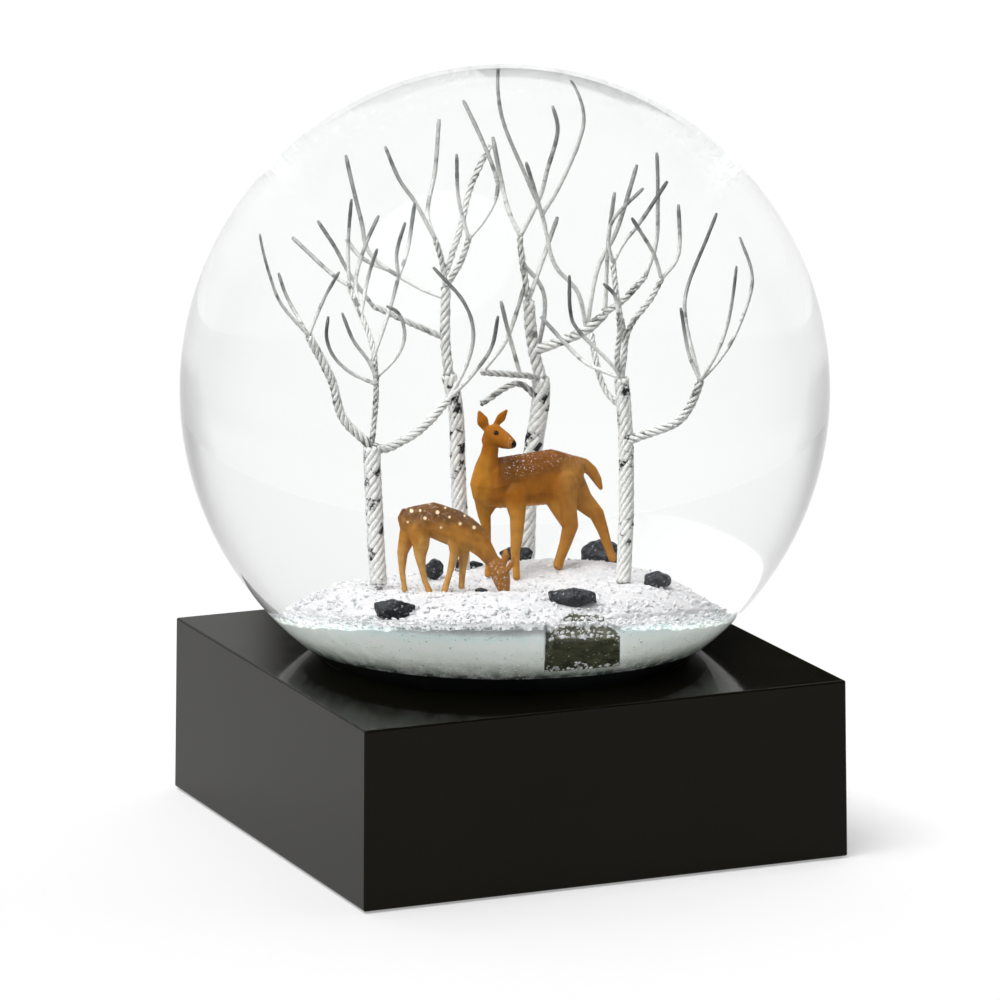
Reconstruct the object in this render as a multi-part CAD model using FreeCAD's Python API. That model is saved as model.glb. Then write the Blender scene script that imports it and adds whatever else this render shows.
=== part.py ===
import FreeCAD, Part
import math
import os

# A snow globe: a water-filled glass ball on a square block base. Inside stand four trees twisted
# from wire, a doe, a fawn and rocks, all on a cast snowy landscape that is glued to the stopper.
# Millimetres, +Z up. Origin: middle of the underside. The base's front face looks towards -Y.

Vector = FreeCAD.Vector
UP = Vector(0, 0, 1)

# ---- driving dimensions -------------------------------------------------------------------
BALL_RADIUS = 60.0          # outside of the glass
GLASS_WALL = 2.5
BALL_DIP = 11.0             # how deep the ball sinks into the top of the base
BASE_SIDE = 95.8            # at the foot
BASE_DRAFT = 0.5            # each side leans in by this much over the base's height
BASE_HEIGHT = 33.5
BASE_WALL = 3.0
BASE_TOP = 4.0              # thickness of the top of the base
EDGE_ROUND = 0.4
SEAT_GAP = 0.1              # between the ball and its seat in the block
NECK_GAP = 0.3              # between the neck and the hole in the block's top
PAD_THICKNESS = 1.2
PAD_INSET = 1.5             # the pad stops short of the block's rim
PAD_CORNER = 3.0
FOOT_GAP = 0.4              # the block's rim clears the table by this much
PLATE_THICKNESS = 2.5
PLATE_GAP = 0.2             # all round, inside the block's rim
PLATE_CORNER = 2.0
NECK_RADIUS = 33.5          # outside of the glass neck
NECK_BOTTOM = 18.0
SOCKET_GAP = 2.7            # room for the glue between neck and socket wall
SOCKET_WALL = 3.0
SOCKET_BOTTOM = 14.0
GLUE_BOTTOM = 22.0          # the glue stops above the sealant bead
FLANGE_THICKNESS = 3.5      # the stopper's flange, below the neck's lip
RIB_PITCH = 3.1             # ribs on the stopper's plug
PLUG_WAIST_GAP = 0.5        # between the plug and the bore, away from the ribs
FLANGE_INSET = 0.3          # the flange is narrower than the neck, to leave room for sealant
BEAD_REACH = 2.0            # how far the sealant bead stands out from the neck
BEAD_ABOVE = 2.0            # and how far it reaches above and below the neck's lip
BEAD_BELOW = 3.0
LANDSCAPE_RADIUS = 30.4
GROUND_LEVEL = 55.4         # height of the ground away from its hump and its rounded rim
STOPPER_TOP = 38.0          # the rubber's flat top, which carries the landscape
SNOW_AT_WALL = 50.2         # loose snow in the trough: height where it meets the landscape
SNOW_AT_GLASS = 44.5        # and where it meets the glass
HUMP = (4.0, 9.0, 2.6, 9.0, 8.0)      # in the ground: x, y, height, spread in x and in y
MOUND = (14.0, 7.0, 1.1, 4.5, 4.5)    # likewise, under the doe's far hind foot
RIM_START = 21.0            # the ground falls away beyond this distance from the middle
RIM_FALL = 0.162
RIM_POWER = 1.52
SCENE_TURN = -23.3          # degrees about +Z from the base's axes to the scene's own axes
PIN_DEPTH = 4.5             # how deep the tree trunks go into the landscape
SCREW_INSET = 9.0           # screw axis from the block's side at the foot
SCREW_CORE_RADIUS = 1.25
SCREW_HEAD_RADIUS = 2.8
SCREW_LENGTH = 11.0
SCREW_CLEARANCE = 0.25
HEAD_CLEARANCE = 0.1
CROSS_SLOT = (2.8, 0.6, 1.0)          # length, width, depth
BOSS_RADIUS = 4.0
WEB_THICKNESS = 2.0
WEB_LENGTH = 20.0
KNUCKLE = 1.05              # a rod's round knuckles are this much fatter than the rod

# ---- worked out ---------------------------------------------------------------------------
BALL_CENTRE_Z = BASE_HEIGHT + BALL_RADIUS - BALL_DIP
INNER_RADIUS = BALL_RADIUS - GLASS_WALL
BORE_RADIUS = NECK_RADIUS - GLASS_WALL
PLATE_BOTTOM = PAD_THICKNESS
PLATE_TOP = PLATE_BOTTOM + PLATE_THICKNESS
TOP_UNDERSIDE = BASE_HEIGHT - BASE_TOP
SOCKET_RADIUS = NECK_RADIUS + SOCKET_GAP
SHELL_CAVITY = BASE_SIDE - 2 * BASE_WALL - 2 * BASE_DRAFT
SCREW_OFFSET = BASE_SIDE / 2 - SCREW_INSET
BALL_CENTRE = Vector(0, 0, BALL_CENTRE_Z)
INSIDE_BALL_Z = BALL_CENTRE_Z - 40    # a height at which the neck's cylinder is well inside the ball
NECK_TOP = BALL_CENTRE_Z - math.sqrt(INNER_RADIUS ** 2 - BORE_RADIUS ** 2)


# ---- small helpers ------------------------------------------------------------------------
def cylinder(radius, low, high, x=0.0, y=0.0):
    return Part.makeCylinder(radius, high - low, Vector(x, y, low), UP)


def block(width, depth, low, high):
    return Part.makeBox(width, depth, high - low, Vector(-width / 2, -depth / 2, low))


def revolve(profile):
    """Turn a closed (radius, height) outline once round the ball's axis."""
    points = [Vector(radius, 0, height) for radius, height in profile]
    face = Part.Face(Part.makePolygon(points + [points[0]]))
    return face.revolve(Vector(0, 0, 0), UP, 360)


def turned_to_base(shape):
    """Put a shape drawn in the scene's own axes into the base's axes."""
    shape.rotate(Vector(0, 0, 0), UP, SCENE_TURN)
    return shape


def fused(shapes):
    solid = shapes[0].multiFuse(shapes[1:])
    return solid.Solids[0] if len(solid.Solids) == 1 else solid


def tapered_run(points):
    """Round rod through (x, y, z, radius) points: cones between slightly larger round knuckles."""
    pieces = []
    last = len(points) - 1
    for number, (x, y, z, radius) in enumerate(points):
        along = Vector(*points[min(number + 1, last)][:3]) - Vector(*points[max(number - 1, 0)][:3])
        pieces.append(Part.makeSphere(radius * KNUCKLE, Vector(x, y, z), along))
    for (x0, y0, z0, r0), (x1, y1, z1, r1) in zip(points, points[1:]):
        start = Vector(x0, y0, z0)
        run = Vector(x1, y1, z1) - start
        if abs(r0 - r1) < 0.01:
            pieces.append(Part.makeCylinder(r0, run.Length, start, run))
        else:
            pieces.append(Part.makeCone(r0, r1, run.Length, start, run))
    return pieces


# ---- the base -----------------------------------------------------------------------------
def screw_places():
    return [(SCREW_OFFSET * sx, SCREW_OFFSET * sy) for sx in (-1, 1) for sy in (-1, 1)]


def make_base_shell():
    foot = BASE_SIDE / 2
    head = BASE_SIDE / 2 - BASE_DRAFT
    outlines = []
    for half, height in ((foot, FOOT_GAP), (head, BASE_HEIGHT)):
        corners = [Vector(-half, -half, height), Vector(half, -half, height),
                   Vector(half, half, height), Vector(-half, half, height)]
        outlines.append(Part.makePolygon(corners + [corners[0]]))
    body = Part.makeLoft(outlines, True, True)
    body = body.makeFillet(EDGE_ROUND, body.Edges)
    body = body.cut(block(SHELL_CAVITY, SHELL_CAVITY, FOOT_GAP - 1, TOP_UNDERSIDE))
    inside = [cylinder(SOCKET_RADIUS + SOCKET_WALL, SOCKET_BOTTOM, TOP_UNDERSIDE + 1)]
    for x, y in screw_places():
        inside.append(cylinder(BOSS_RADIUS, PLATE_TOP, TOP_UNDERSIDE + 1, x, y))
        web = Part.makeBox(WEB_LENGTH, WEB_THICKNESS, TOP_UNDERSIDE + 1 - SOCKET_BOTTOM,
                           Vector(SOCKET_RADIUS + 1, -WEB_THICKNESS / 2, SOCKET_BOTTOM))
        web.rotate(Vector(0, 0, 0), UP, math.degrees(math.atan2(y, x)))
        inside.append(web)
    body = fused([body] + inside)
    body = body.cut(cylinder(SOCKET_RADIUS, 0, TOP_UNDERSIDE))
    body = body.cut(cylinder(NECK_RADIUS + NECK_GAP, 0, BASE_HEIGHT + 1))
    body = body.cut(Part.makeSphere(BALL_RADIUS + SEAT_GAP, BALL_CENTRE))
    for x, y in screw_places():
        body = body.cut(cylinder(SCREW_CORE_RADIUS, 0, PLATE_TOP + SCREW_LENGTH, x, y))
    return body.Solids[0]


def screw_head_cone(x, y, clearance):
    height = SCREW_HEAD_RADIUS - SCREW_CORE_RADIUS
    return Part.makeCone(SCREW_HEAD_RADIUS + clearance, SCREW_CORE_RADIUS + clearance,
                         height, Vector(x, y, PLATE_BOTTOM), UP)


def make_base_plate():
    side = SHELL_CAVITY - 2 * PLATE_GAP
    plate = block(side, side, PLATE_BOTTOM, PLATE_TOP)
    upright = [edge for edge in plate.Edges if abs(edge.tangentAt(0).z) > 0.9]
    plate = plate.makeFillet(PLATE_CORNER, upright)
    for x, y in screw_places():
        plate = plate.cut(cylinder(SCREW_CORE_RADIUS + SCREW_CLEARANCE, 0, PLATE_TOP + 1, x, y))
        plate = plate.cut(screw_head_cone(x, y, HEAD_CLEARANCE))
    return plate.Solids[0]


def make_cover_screws():
    length, width, depth = CROSS_SLOT
    screws = []
    for x, y in screw_places():
        screw = screw_head_cone(x, y, 0.0)
        screw = screw.fuse(cylinder(SCREW_CORE_RADIUS, PLATE_BOTTOM, PLATE_BOTTOM + SCREW_LENGTH, x, y))
        for across, along in ((length, width), (width, length)):
            slot = block(across, along, PLATE_BOTTOM, PLATE_BOTTOM + depth)
            slot.translate(Vector(x, y, 0))
            screw = screw.cut(slot)
        screws.append(screw.Solids[0])
    return Part.makeCompound(screws)


def make_foot_pad():
    side = SHELL_CAVITY - 2 * PAD_INSET
    pad = block(side, side, 0.0, PAD_THICKNESS)
    upright = [edge for edge in pad.Edges if abs(edge.tangentAt(0).z) > 0.9]
    return pad.makeFillet(PAD_CORNER, upright).Solids[0]


# ---- the ball and its stopper -------------------------------------------------------------
def make_globe():
    outside = Part.makeSphere(BALL_RADIUS, BALL_CENTRE)
    outside = outside.fuse(cylinder(NECK_RADIUS, NECK_BOTTOM, INSIDE_BALL_Z))
    inside = Part.makeSphere(INNER_RADIUS, BALL_CENTRE)
    inside = inside.fuse(cylinder(BORE_RADIUS, NECK_BOTTOM - 1, INSIDE_BALL_Z))
    return outside.cut(inside).Solids[0]


def make_neck_stopper():
    """Rubber bung: flange, ribbed plug, and a soft lip that opens out inside the ball."""
    flange = NECK_RADIUS - FLANGE_INSET
    flange_bottom = NECK_BOTTOM - FLANGE_THICKNESS
    rib = BORE_RADIUS
    waist = BORE_RADIUS - PLUG_WAIST_GAP
    profile = [(0, flange_bottom), (flange, flange_bottom), (flange, NECK_BOTTOM)]
    for step in range(3):
        low = NECK_BOTTOM + RIB_PITCH * step
        profile += [(waist, low), (rib, low + 1.0), (rib, low + 1.8), (waist, low + 2.8)]
    profile += [(waist, STOPPER_TOP), (0, STOPPER_TOP)]
    lip = cylinder(INNER_RADIUS, NECK_TOP, STOPPER_TOP).common(Part.makeSphere(INNER_RADIUS, BALL_CENTRE))
    return revolve(profile).fuse(lip).Solids[0]


def make_sealant_bead():
    steps = 5
    profile = []
    for step in range(steps):
        turn = math.pi * step / (steps - 1)
        height = (BEAD_ABOVE - BEAD_BELOW) / 2 - (BEAD_ABOVE + BEAD_BELOW) / 2 * math.cos(turn)
        profile.append((NECK_RADIUS + BEAD_REACH * math.sin(turn), NECK_BOTTOM + height))
    return revolve(profile).Solids[0]


def make_seat_adhesive():
    ring = cylinder(SOCKET_RADIUS, GLUE_BOTTOM, TOP_UNDERSIDE)
    return ring.cut(cylinder(NECK_RADIUS, NECK_BOTTOM, BASE_HEIGHT)).Solids[0]


# ---- the ground ---------------------------------------------------------------------------
def swelling(x, y, shape):
    centre_x, centre_y, height, spread_x, spread_y = shape
    away = ((x - centre_x) / spread_x) ** 2 + ((y - centre_y) / spread_y) ** 2
    return height * math.exp(-away / 2)


def ground(x, y):
    """Height of the snowy ground: a hump behind the middle, a mound under the doe, a rounded rim."""
    fall = RIM_FALL * max(0.0, math.hypot(x, y) - RIM_START) ** RIM_POWER
    return GROUND_LEVEL + swelling(x, y, HUMP) + swelling(x, y, MOUND) - fall


def make_landscape(pockets):
    reach = 34
    step = 4
    grid = [[Vector(x, y, ground(x, y)) for y in range(-reach, reach + 1, step)]
            for x in range(-reach, reach + 1, step)]
    surface = Part.BSplineSurface()
    surface.interpolate(grid)
    slab = surface.toShape().extrude(Vector(0, 0, STOPPER_TOP - GROUND_LEVEL - 10))
    land = turned_to_base(slab).common(cylinder(LANDSCAPE_RADIUS, STOPPER_TOP, GROUND_LEVEL + 10))
    for pocket in pockets:
        land = land.cut(pocket)
    return max(land.Solids, key=lambda solid: solid.Volume)


def make_settled_snow(pockets):
    """Loose snow in the trough between landscape, glass and stopper, but not before the boulder."""
    beyond = INNER_RADIUS
    at_glass = math.sqrt(INNER_RADIUS ** 2 - (BALL_CENTRE_Z - SNOW_AT_GLASS) ** 2)
    slope = (SNOW_AT_WALL - SNOW_AT_GLASS) / (at_glass - LANDSCAPE_RADIUS)
    low_end = SNOW_AT_GLASS - slope * (beyond - at_glass)
    profile = [(LANDSCAPE_RADIUS, STOPPER_TOP), (beyond, STOPPER_TOP),
               (beyond, low_end), (LANDSCAPE_RADIUS, SNOW_AT_WALL)]
    ring = revolve(profile).common(Part.makeSphere(INNER_RADIUS, BALL_CENTRE))
    width, depth, height = BOULDER_SIZE
    boulder_front = Part.makeBox(width, depth + 4.0, height + 2.0, BOULDER_CORNER - Vector(0, 6.0, 0))
    for pocket in pockets + [turned_to_base(boulder_front)]:
        ring = ring.cut(pocket)
    return max(ring.Solids, key=lambda solid: solid.Volume)


# ---- rocks --------------------------------------------------------------------------------
SWELL = 0.1                 # how unevenly a rock's corners stick out
ICOSAHEDRON_EDGE = 2.0      # with its corners at (0, 1, golden ratio) and so on
GOLDEN_TURN = 2.4           # radians between one flake and the next round the ground


def rock(centre, size, seed):
    """Faceted pebble: an icosahedron with uneven corners, stretched to size (x, y, z)."""
    golden = (1 + math.sqrt(5)) / 2
    corners = []
    for a in (-1, 1):
        for b in (-golden, golden):
            corners += [(0, a, b), (a, b, 0), (b, 0, a)]
    places = []
    for number, corner in enumerate(corners):
        swell = (1 - SWELL + SWELL * math.sin(seed * 7.3 + number * 2.4)) / golden
        places.append(Vector(*(middle + half * part * swell / 2
                               for middle, half, part in zip(centre, size, corner))))
    faces = []
    for i in range(12):
        for j in range(i + 1, 12):
            for k in range(j + 1, 12):
                sides = [math.dist(corners[p], corners[q]) for p, q in ((i, j), (j, k), (i, k))]
                if max(sides) < ICOSAHEDRON_EDGE + 0.1:
                    loop = [places[i], places[j], places[k], places[i]]
                    faces.append(Part.Face(Part.makePolygon(loop)))
    solid = Part.makeSolid(Part.makeShell(faces))
    if solid.Volume < 0:
        solid.reverse()
    return turned_to_base(solid)


BOULDER_SIZE = (14.5, 12.0, 12.4)
BOULDER_CORNER = Vector(6.4, -40.5, 39.6)


def make_boulder():
    """Flat-fronted block leaning out over the trough, its corners knocked off."""
    body = Part.makeBox(*BOULDER_SIZE, BOULDER_CORNER)
    for corner, normal in ((Vector(12, -32.5, 40.0), Vector(0.0, -0.76, -0.65)),
                           (Vector(12, -38.3, 47.0), Vector(0.1, -0.5, 1.0)),
                           (Vector(7, -36, 48.6), Vector(-1.0, -0.2, 1.4)),
                           (Vector(19.5, -36, 46.0), Vector(1.2, -0.2, 1.2)),
                           (Vector(20.3, -34, 43.0), Vector(1.0, -0.1, 0.12)),
                           (Vector(18.9, -32.4, 40.0), Vector(0.5, -0.4, -1.0)),
                           (Vector(6.6, -33, 44.0), Vector(-1.0, -0.3, 0.05))):
        knife = Part.makeBox(60, 60, 30, Vector(-30, -30, 0))
        knife.Placement = FreeCAD.Placement(corner, FreeCAD.Rotation(UP, normal))
        body = body.cut(knife)
    return turned_to_base(body.Solids[0])


ROCKS = {                          # centre, size (scene axes), seed
    "rock_front_left": ((-17.3, -23.8, 51.9), (7.0, 5.0, 4.4), 1),
    "rock_front_right": ((10.4, -23.2, 54.6), (8.0, 5.4, 3.4), 2),
    "rock_right": ((21.6, -5.0, 56.2), (4.4, 4.0, 3.0), 3),
    "rock_behind_doe": ((12.0, 18.0, 58.0), (6.0, 4.6, 4.6), 4),
    "rock_behind_fawn": ((-9.4, 4.0, 57.2), (3.0, 3.0, 3.2), 5),
    "rock_by_tree": ((1.4, 15.5, 57.9), (4.6, 3.4, 2.8), 6),
    "pebble_front": ((-3.6, -20.2, 55.5), (2.4, 1.8, 1.6), 7),
    "pebble_middle": ((-3.8, 9.6, 57.4), (2.4, 1.8, 1.4), 8),
}


def grain(x, y, z, size, seed):
    return rock((x, y, z), (size, size * 0.9, size * 0.8), seed)


def make_boulder_snow():
    """Clumps of snow in four rows on the boulder's sloping top, whose right end falls away."""
    count, rows = 14, 4
    front, row_pitch = -37.0, 2.0
    left, pitch = 8.0, 0.78
    front_level, slope = 48.6, 0.5
    level_until = 15.0
    clumps = []
    for number in range(count):
        across = left + pitch * number
        behind = row_pitch * (number % rows)
        level = front_level + slope * behind - 0.1 * max(0.0, across - level_until) ** 2
        clumps.append(grain(across, front + behind, level, 0.9, number))
    return Part.makeCompound(clumps)


def make_loose_snow():
    """Flakes that have come to rest on the ground, out to its rim, half sunk in it."""
    count = 24
    nearest, farthest = 9.0, 26.0
    flakes = []
    for number in range(count):
        turn = number * GOLDEN_TURN
        reach = nearest + (farthest - nearest) * math.sqrt(number / (count - 1))
        x = reach * math.cos(turn)
        y = reach * math.sin(turn)
        flakes.append(grain(x, y, ground(x, y) + 0.25, 0.6, number))
    return Part.makeCompound(flakes)


# ---- trees --------------------------------------------------------------------------------
LIMB = 0.7
BOUGH = 0.45
TWIG = 0.25

# Each tree: its trunk's radius, then branches as (radius, points), points in the scene's axes.
TREES = {
    "tree_left": (1.25, [
        (1.25, [(-18.5, -12, 56), (-19, -12, 66.5), (-19.5, -12, 76.5)]),
        (LIMB, [(-19.5, -12, 76.5), (-24, -13, 81), (-26, -14, 87), (-30, -15, 94)]),
        (TWIG, [(-30, -15, 94), (-35.5, -17, 100), (-38.5, -18, 105), (-42, -19, 112)]),
        (TWIG, [(-30, -15, 94), (-33.5, -12, 99.5), (-35, -10, 103)]),
        (TWIG, [(-30, -15, 94), (-28, -16, 100), (-26, -18, 105)]),
        (BOUGH, [(-19.5, -12, 76.5), (-19, -12, 82), (-19, -13, 87)]),
        (TWIG, [(-19, -13, 86), (-23, -14, 88), (-26, -16, 91), (-27.5, -18, 94.5), (-27.5, -19, 98)]),
        (TWIG, [(-19, -13, 87), (-20.5, -14, 90), (-23, -16, 93.5), (-25, -17, 98)]),
        (TWIG, [(-19, -13, 87), (-16, -14, 90.5), (-15, -15, 94), (-16, -16, 97.5), (-18, -17, 99)]),
        (LIMB, [(-19.5, -12, 76.5), (-17, -10, 76), (-12, -8, 78.5), (-8, -4, 82)]),
        (TWIG, [(-8, -4, 82), (-5.5, -5, 87), (-4.5, -6, 92), (-6, -7, 97), (-10.5, -8, 102.5)]),
        (TWIG, [(-8, -4, 82), (-5, -6, 85.5), (-2, -7, 90), (-1, -10, 95.5)]),
        (BOUGH, [(-19, -13, 86), (-19.5, -10, 91.5), (-22.5, -4, 98.5)]),
        (TWIG, [(-22.5, -4, 98.5), (-23, -4, 105), (-23, -4, 112.5)]),
        (TWIG, [(-21, -7, 95), (-21.5, -3, 99), (-20, 0, 103.5), (-18, 2, 107.5)]),
        (TWIG, [(-21, -7, 95), (-20, -6, 100.5), (-19, -8, 105.5)]),
        (TWIG, [(-19.5, -11, 89), (-17, -10, 96.5), (-15.5, -6, 100.5)]),
        (TWIG, [(-15.5, -6, 100.5), (-16, -8, 105), (-15, -9, 110)]),
        (TWIG, [(-15.5, -6, 100.5), (-14, -3, 104), (-13, 0, 110)]),
    ]),
    "tree_back_left": (1.0, [
        (1.0, [(-5.5, 8, 57), (-6, 8, 66), (-6.5, 8, 78), (-7.5, 8, 83)]),
        (LIMB, [(-7.5, 8, 83), (-8, 8, 88), (-8, 8, 95)]),
        (BOUGH, [(-8, 8, 95), (-8.5, 8, 98.5), (-9.5, 7.5, 102)]),
        (TWIG, [(-9.5, 7.5, 102), (-12.5, 6, 108), (-15, 5, 112), (-17.5, 4, 118)]),
        (TWIG, [(-9.5, 7.5, 102), (-10.5, 10, 105), (-9.5, 11, 111), (-9, 14, 117.5)]),
        (BOUGH, [(-8, 8, 95), (-6, 7, 99), (-5, 6, 102.5)]),
        (TWIG, [(-5, 6, 102.5), (-6.5, 5, 109), (-7, 2, 117)]),
        (TWIG, [(-5, 6, 102.5), (-2.5, 7, 105.5), (-1, 8, 109), (-2, 8, 113.5), (-6, 10, 122)]),
        (BOUGH, [(-8, 8, 97), (-6, 12, 102), (-4.5, 15, 107), (-2, 18, 111.5)]),
        (BOUGH, [(-8, 8, 88), (-12, 7, 90), (-18, 6, 93)]),
        (TWIG, [(-18, 6, 93), (-21.5, 4, 98), (-24, 3, 102.5), (-27, 2, 107)]),
        (TWIG, [(-20, 5, 95.5), (-23.5, 5, 97.5), (-29.5, 8, 102.5)]),
        (TWIG, [(-8, 8, 93.5), (-12, 9, 95), (-18, 10, 99), (-19.5, 11, 104), (-22, 12, 112)]),
        (TWIG, [(-15.5, 9.5, 97), (-19, 12, 98), (-21, 14, 100)]),
    ]),
    "tree_back_right": (1.15, [
        (1.15, [(2.5, 20, 57), (3, 20, 67), (4.5, 20, 77), (4.5, 20, 80)]),
        (0.8, [(4.5, 20, 80), (3.5, 20, 84.5), (3, 20, 90)]),
        (BOUGH, [(3, 20, 90), (2, 20, 97), (2, 20, 98.5)]),
        (TWIG, [(2, 20, 98.5), (0.5, 21, 101.5), (-0.5, 23, 105), (-1.5, 24, 110)]),
        (TWIG, [(2, 20, 98.5), (4.5, 19, 104), (5.5, 18, 108), (7, 17, 114), (6.5, 16, 118.5)]),
        (TWIG, [(2.2, 20, 95), (4.5, 22, 91.5), (5, 23, 88), (4, 21, 82.5)]),
        (TWIG, [(3, 20, 90), (4.5, 22, 94), (6.5, 26, 99)]),
        (LIMB, [(3.7, 20, 83.5), (7, 19, 85), (10.5, 17, 87), (13, 16, 89.5)]),
        (BOUGH, [(13, 16, 89.5), (15.5, 15, 91.5), (18.5, 14, 95)]),
        (TWIG, [(18.5, 14, 95), (20, 14, 99.5), (20.5, 13, 105), (21, 12, 113.5)]),
        (TWIG, [(10.5, 17, 87), (12, 17, 95), (14.5, 18, 100), (17, 20, 108)]),
        (TWIG, [(13, 16, 89.5), (13.5, 14, 97.5), (14, 12, 102), (15, 10, 108)]),
        (TWIG, [(10.5, 17, 87), (9.5, 15, 92.5), (6.5, 13, 97), (5, 12, 104), (3, 10, 110),
                (0, 8, 119), (-1, 6, 125), (-1, 4, 131)]),
        (TWIG, [(5, 12, 104), (7.5, 10, 109), (10.5, 7, 117), (11, 4, 122), (10.5, 2, 129)]),
        (TWIG, [(5, 12, 104), (4, 9, 109), (3, 6, 114)]),
        (BOUGH, [(4.5, 20, 80), (2, 17, 81), (-3, 14, 82)]),
        (TWIG, [(2, 17, 81), (0.5, 15, 87), (-0.5, 12, 92)]),
        (TWIG, [(-3, 14, 82), (0, 16, 85.5), (1.5, 18, 89), (2.5, 20, 92)]),
        (BOUGH, [(4.5, 20, 77), (1.5, 19, 79.5), (-3, 16, 77.5)]),
    ]),
    "tree_right": (1.05, [
        (1.05, [(16.5, -4, 56), (17, -4, 66.5), (17, -4, 77), (16.5, -4, 85)]),
        (TWIG, [(16.5, -4, 85), (15, -5, 87.5), (10.5, -6, 92.5), (9.5, -8, 96), (9.5, -9, 101.5)]),
        (TWIG, [(16.5, -4, 85), (13.5, -3, 86), (10.5, -2, 87.5), (5, 0, 93)]),
        (BOUGH, [(16.5, -4, 85), (16, -5, 88), (16.5, -6, 92), (16.5, -7, 95)]),
        (TWIG, [(16.5, -7, 95), (16, -7, 98), (14.5, -8, 100)]),
        (BOUGH, [(16.5, -4, 85), (17, -3, 90), (16, -3, 96.5), (15.5, -2, 101.5)]),
        (TWIG, [(15.5, -2, 101.5), (15, -3, 105), (16, -4, 109), (21, -6, 115)]),
        (TWIG, [(15.5, -2, 101.5), (17, 0, 104), (19.5, 1, 107), (23.5, 4, 112.5)]),
        (BOUGH, [(16.5, -4, 85), (17.5, -2, 91.5), (20.5, 0, 95.5), (22, 2, 98)]),
        (TWIG, [(22, 2, 98), (21.5, 1, 101), (21, -1, 103.5), (18.5, -2, 108.5)]),
        (TWIG, [(22, 2, 98), (24.5, 3, 101.5), (24.5, 6, 108)]),
        (LIMB, [(17, -4, 76), (19.5, -5, 77), (24.5, -6, 79), (27, -7, 82), (28.5, -8, 85.5)]),
        (TWIG, [(28.5, -8, 85.5), (27, -9, 90), (26.5, -12, 97.5)]),
        (TWIG, [(28.5, -8, 85.5), (26.5, -7, 94.5), (27, -6, 99.5), (30.5, -5, 107), (32.5, -4, 111)]),
        (TWIG, [(28.5, -8, 85.5), (31.5, -10, 90), (34, -11, 95.5), (37, -14, 105.5)]),
        (TWIG, [(28.5, -8, 85.5), (31.5, -7, 88.5), (34.5, -6, 93), (37, -3, 100), (35.5, -2, 106.5)]),
        (BOUGH, [(16.8, -4, 80.5), (14, -2, 83), (12.5, 0, 87.5), (12, 2, 90)]),
    ]),
}


def trunk_pin(name):
    """The straight foot of a trunk, which goes into a hole in the landscape."""
    radius, branches = TREES[name]
    x, y, z = branches[0][1][0]
    return turned_to_base(cylinder(radius, z - PIN_DEPTH, z + 1.0, x, y))


def make_tree(name):
    pieces = [trunk_pin(name)]
    for radius, points in TREES[name][1]:
        run = tapered_run([(x, y, z, radius) for x, y, z in points])
        pieces += [turned_to_base(piece) for piece in run]
    return fused(pieces)


# ---- deer ---------------------------------------------------------------------------------
DOE = [                            # chains of (x, y, z, radius) in the scene's axes
    [(-1.8, -1.6, 69.7, 3.2), (2.4, 1.0, 69.9, 3.0), (5.6, 2.9, 70.3, 3.1), (7.5, 4.0, 70.0, 2.7)],
    [(-2.6, -2.0, 70.6, 2.3), (-2.9, -2.6, 74.0, 1.4), (-2.2, -2.8, 76.4, 1.3)],
    [(-1.2, -3.0, 77.4, 1.45), (0.6, -3.4, 76.4, 0.9), (1.3, -3.6, 76.0, 0.6)],
    [(-2.2, -2.8, 78.4, 0.5), (-3.4, -3.0, 80.0, 0.35)],
    [(-0.9, -2.6, 78.6, 0.5), (0.1, -2.4, 80.0, 0.3)],
    [(0.6, -2.6, 68.0, 1.5), (1.3, -2.4, 65.5, 0.95), (1.5, -2.3, 61.3, 0.62), (1.6, -2.4, 56.5, 0.5)],
    [(-3.2, -0.8, 67.5, 1.5), (-3.1, -0.6, 65.0, 0.95), (-2.5, -0.3, 61.0, 0.62), (-2.3, -0.2, 56.6, 0.5)],
    [(7.2, 2.4, 68.5, 2.2), (7.2, 2.3, 66.0, 1.4), (8.4, 2.6, 62.8, 0.75), (7.1, 2.4, 57.3, 0.5)],
    [(8.4, 5.0, 68.5, 2.2), (10.4, 5.6, 66.2, 1.3), (12.9, 6.0, 63.6, 0.75), (14.1, 6.0, 57.8, 0.5)],
    [(9.6, 5.0, 71.0, 0.75), (11.4, 5.8, 70.0, 0.8), (12.9, 6.1, 67.2, 0.35)],
]
FAWN = [
    [(-13.2, -17.8, 66.1, 2.3), (-10.5, -18.0, 66.4, 2.6), (-7.2, -18.1, 65.6, 2.3),
     (-4.6, -18.0, 64.2, 1.8), (-2.8, -17.9, 61.6, 1.4), (-1.4, -18.1, 59.6, 1.25)],
    [(-0.7, -18.1, 58.4, 1.3), (-0.3, -18.3, 56.2, 0.8), (-0.2, -18.4, 55.4, 0.6)],
    [(-0.7, -17.6, 59.8, 0.45), (0.2, -17.1, 61.8, 0.3)],
    [(0.0, -18.6, 59.4, 0.45), (0.9, -19.0, 61.2, 0.3)],
    [(-13.8, -17.2, 65.3, 1.5), (-15.3, -17.1, 62.0, 0.6), (-15.2, -17.1, 57.5, 0.42),
     (-14.9, -17.1, 55.0, 0.42)],
    [(-12.6, -18.6, 65.0, 1.5), (-13.1, -18.9, 61.0, 0.62), (-12.2, -19.0, 57.3, 0.42),
     (-11.5, -19.0, 54.9, 0.42)],
    [(-7.6, -18.8, 64.5, 1.3), (-8.2, -18.9, 60.5, 0.6), (-8.9, -18.9, 57.0, 0.42),
     (-9.2, -18.9, 54.9, 0.42)],
    [(-6.8, -17.2, 64.5, 1.3), (-6.5, -17.1, 60.5, 0.6), (-6.3, -17.1, 57.5, 0.42),
     (-6.3, -17.1, 55.2, 0.42)],
    [(-15.0, -17.8, 67.3, 0.6), (-15.7, -17.7, 64.8, 0.4)],
]


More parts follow.
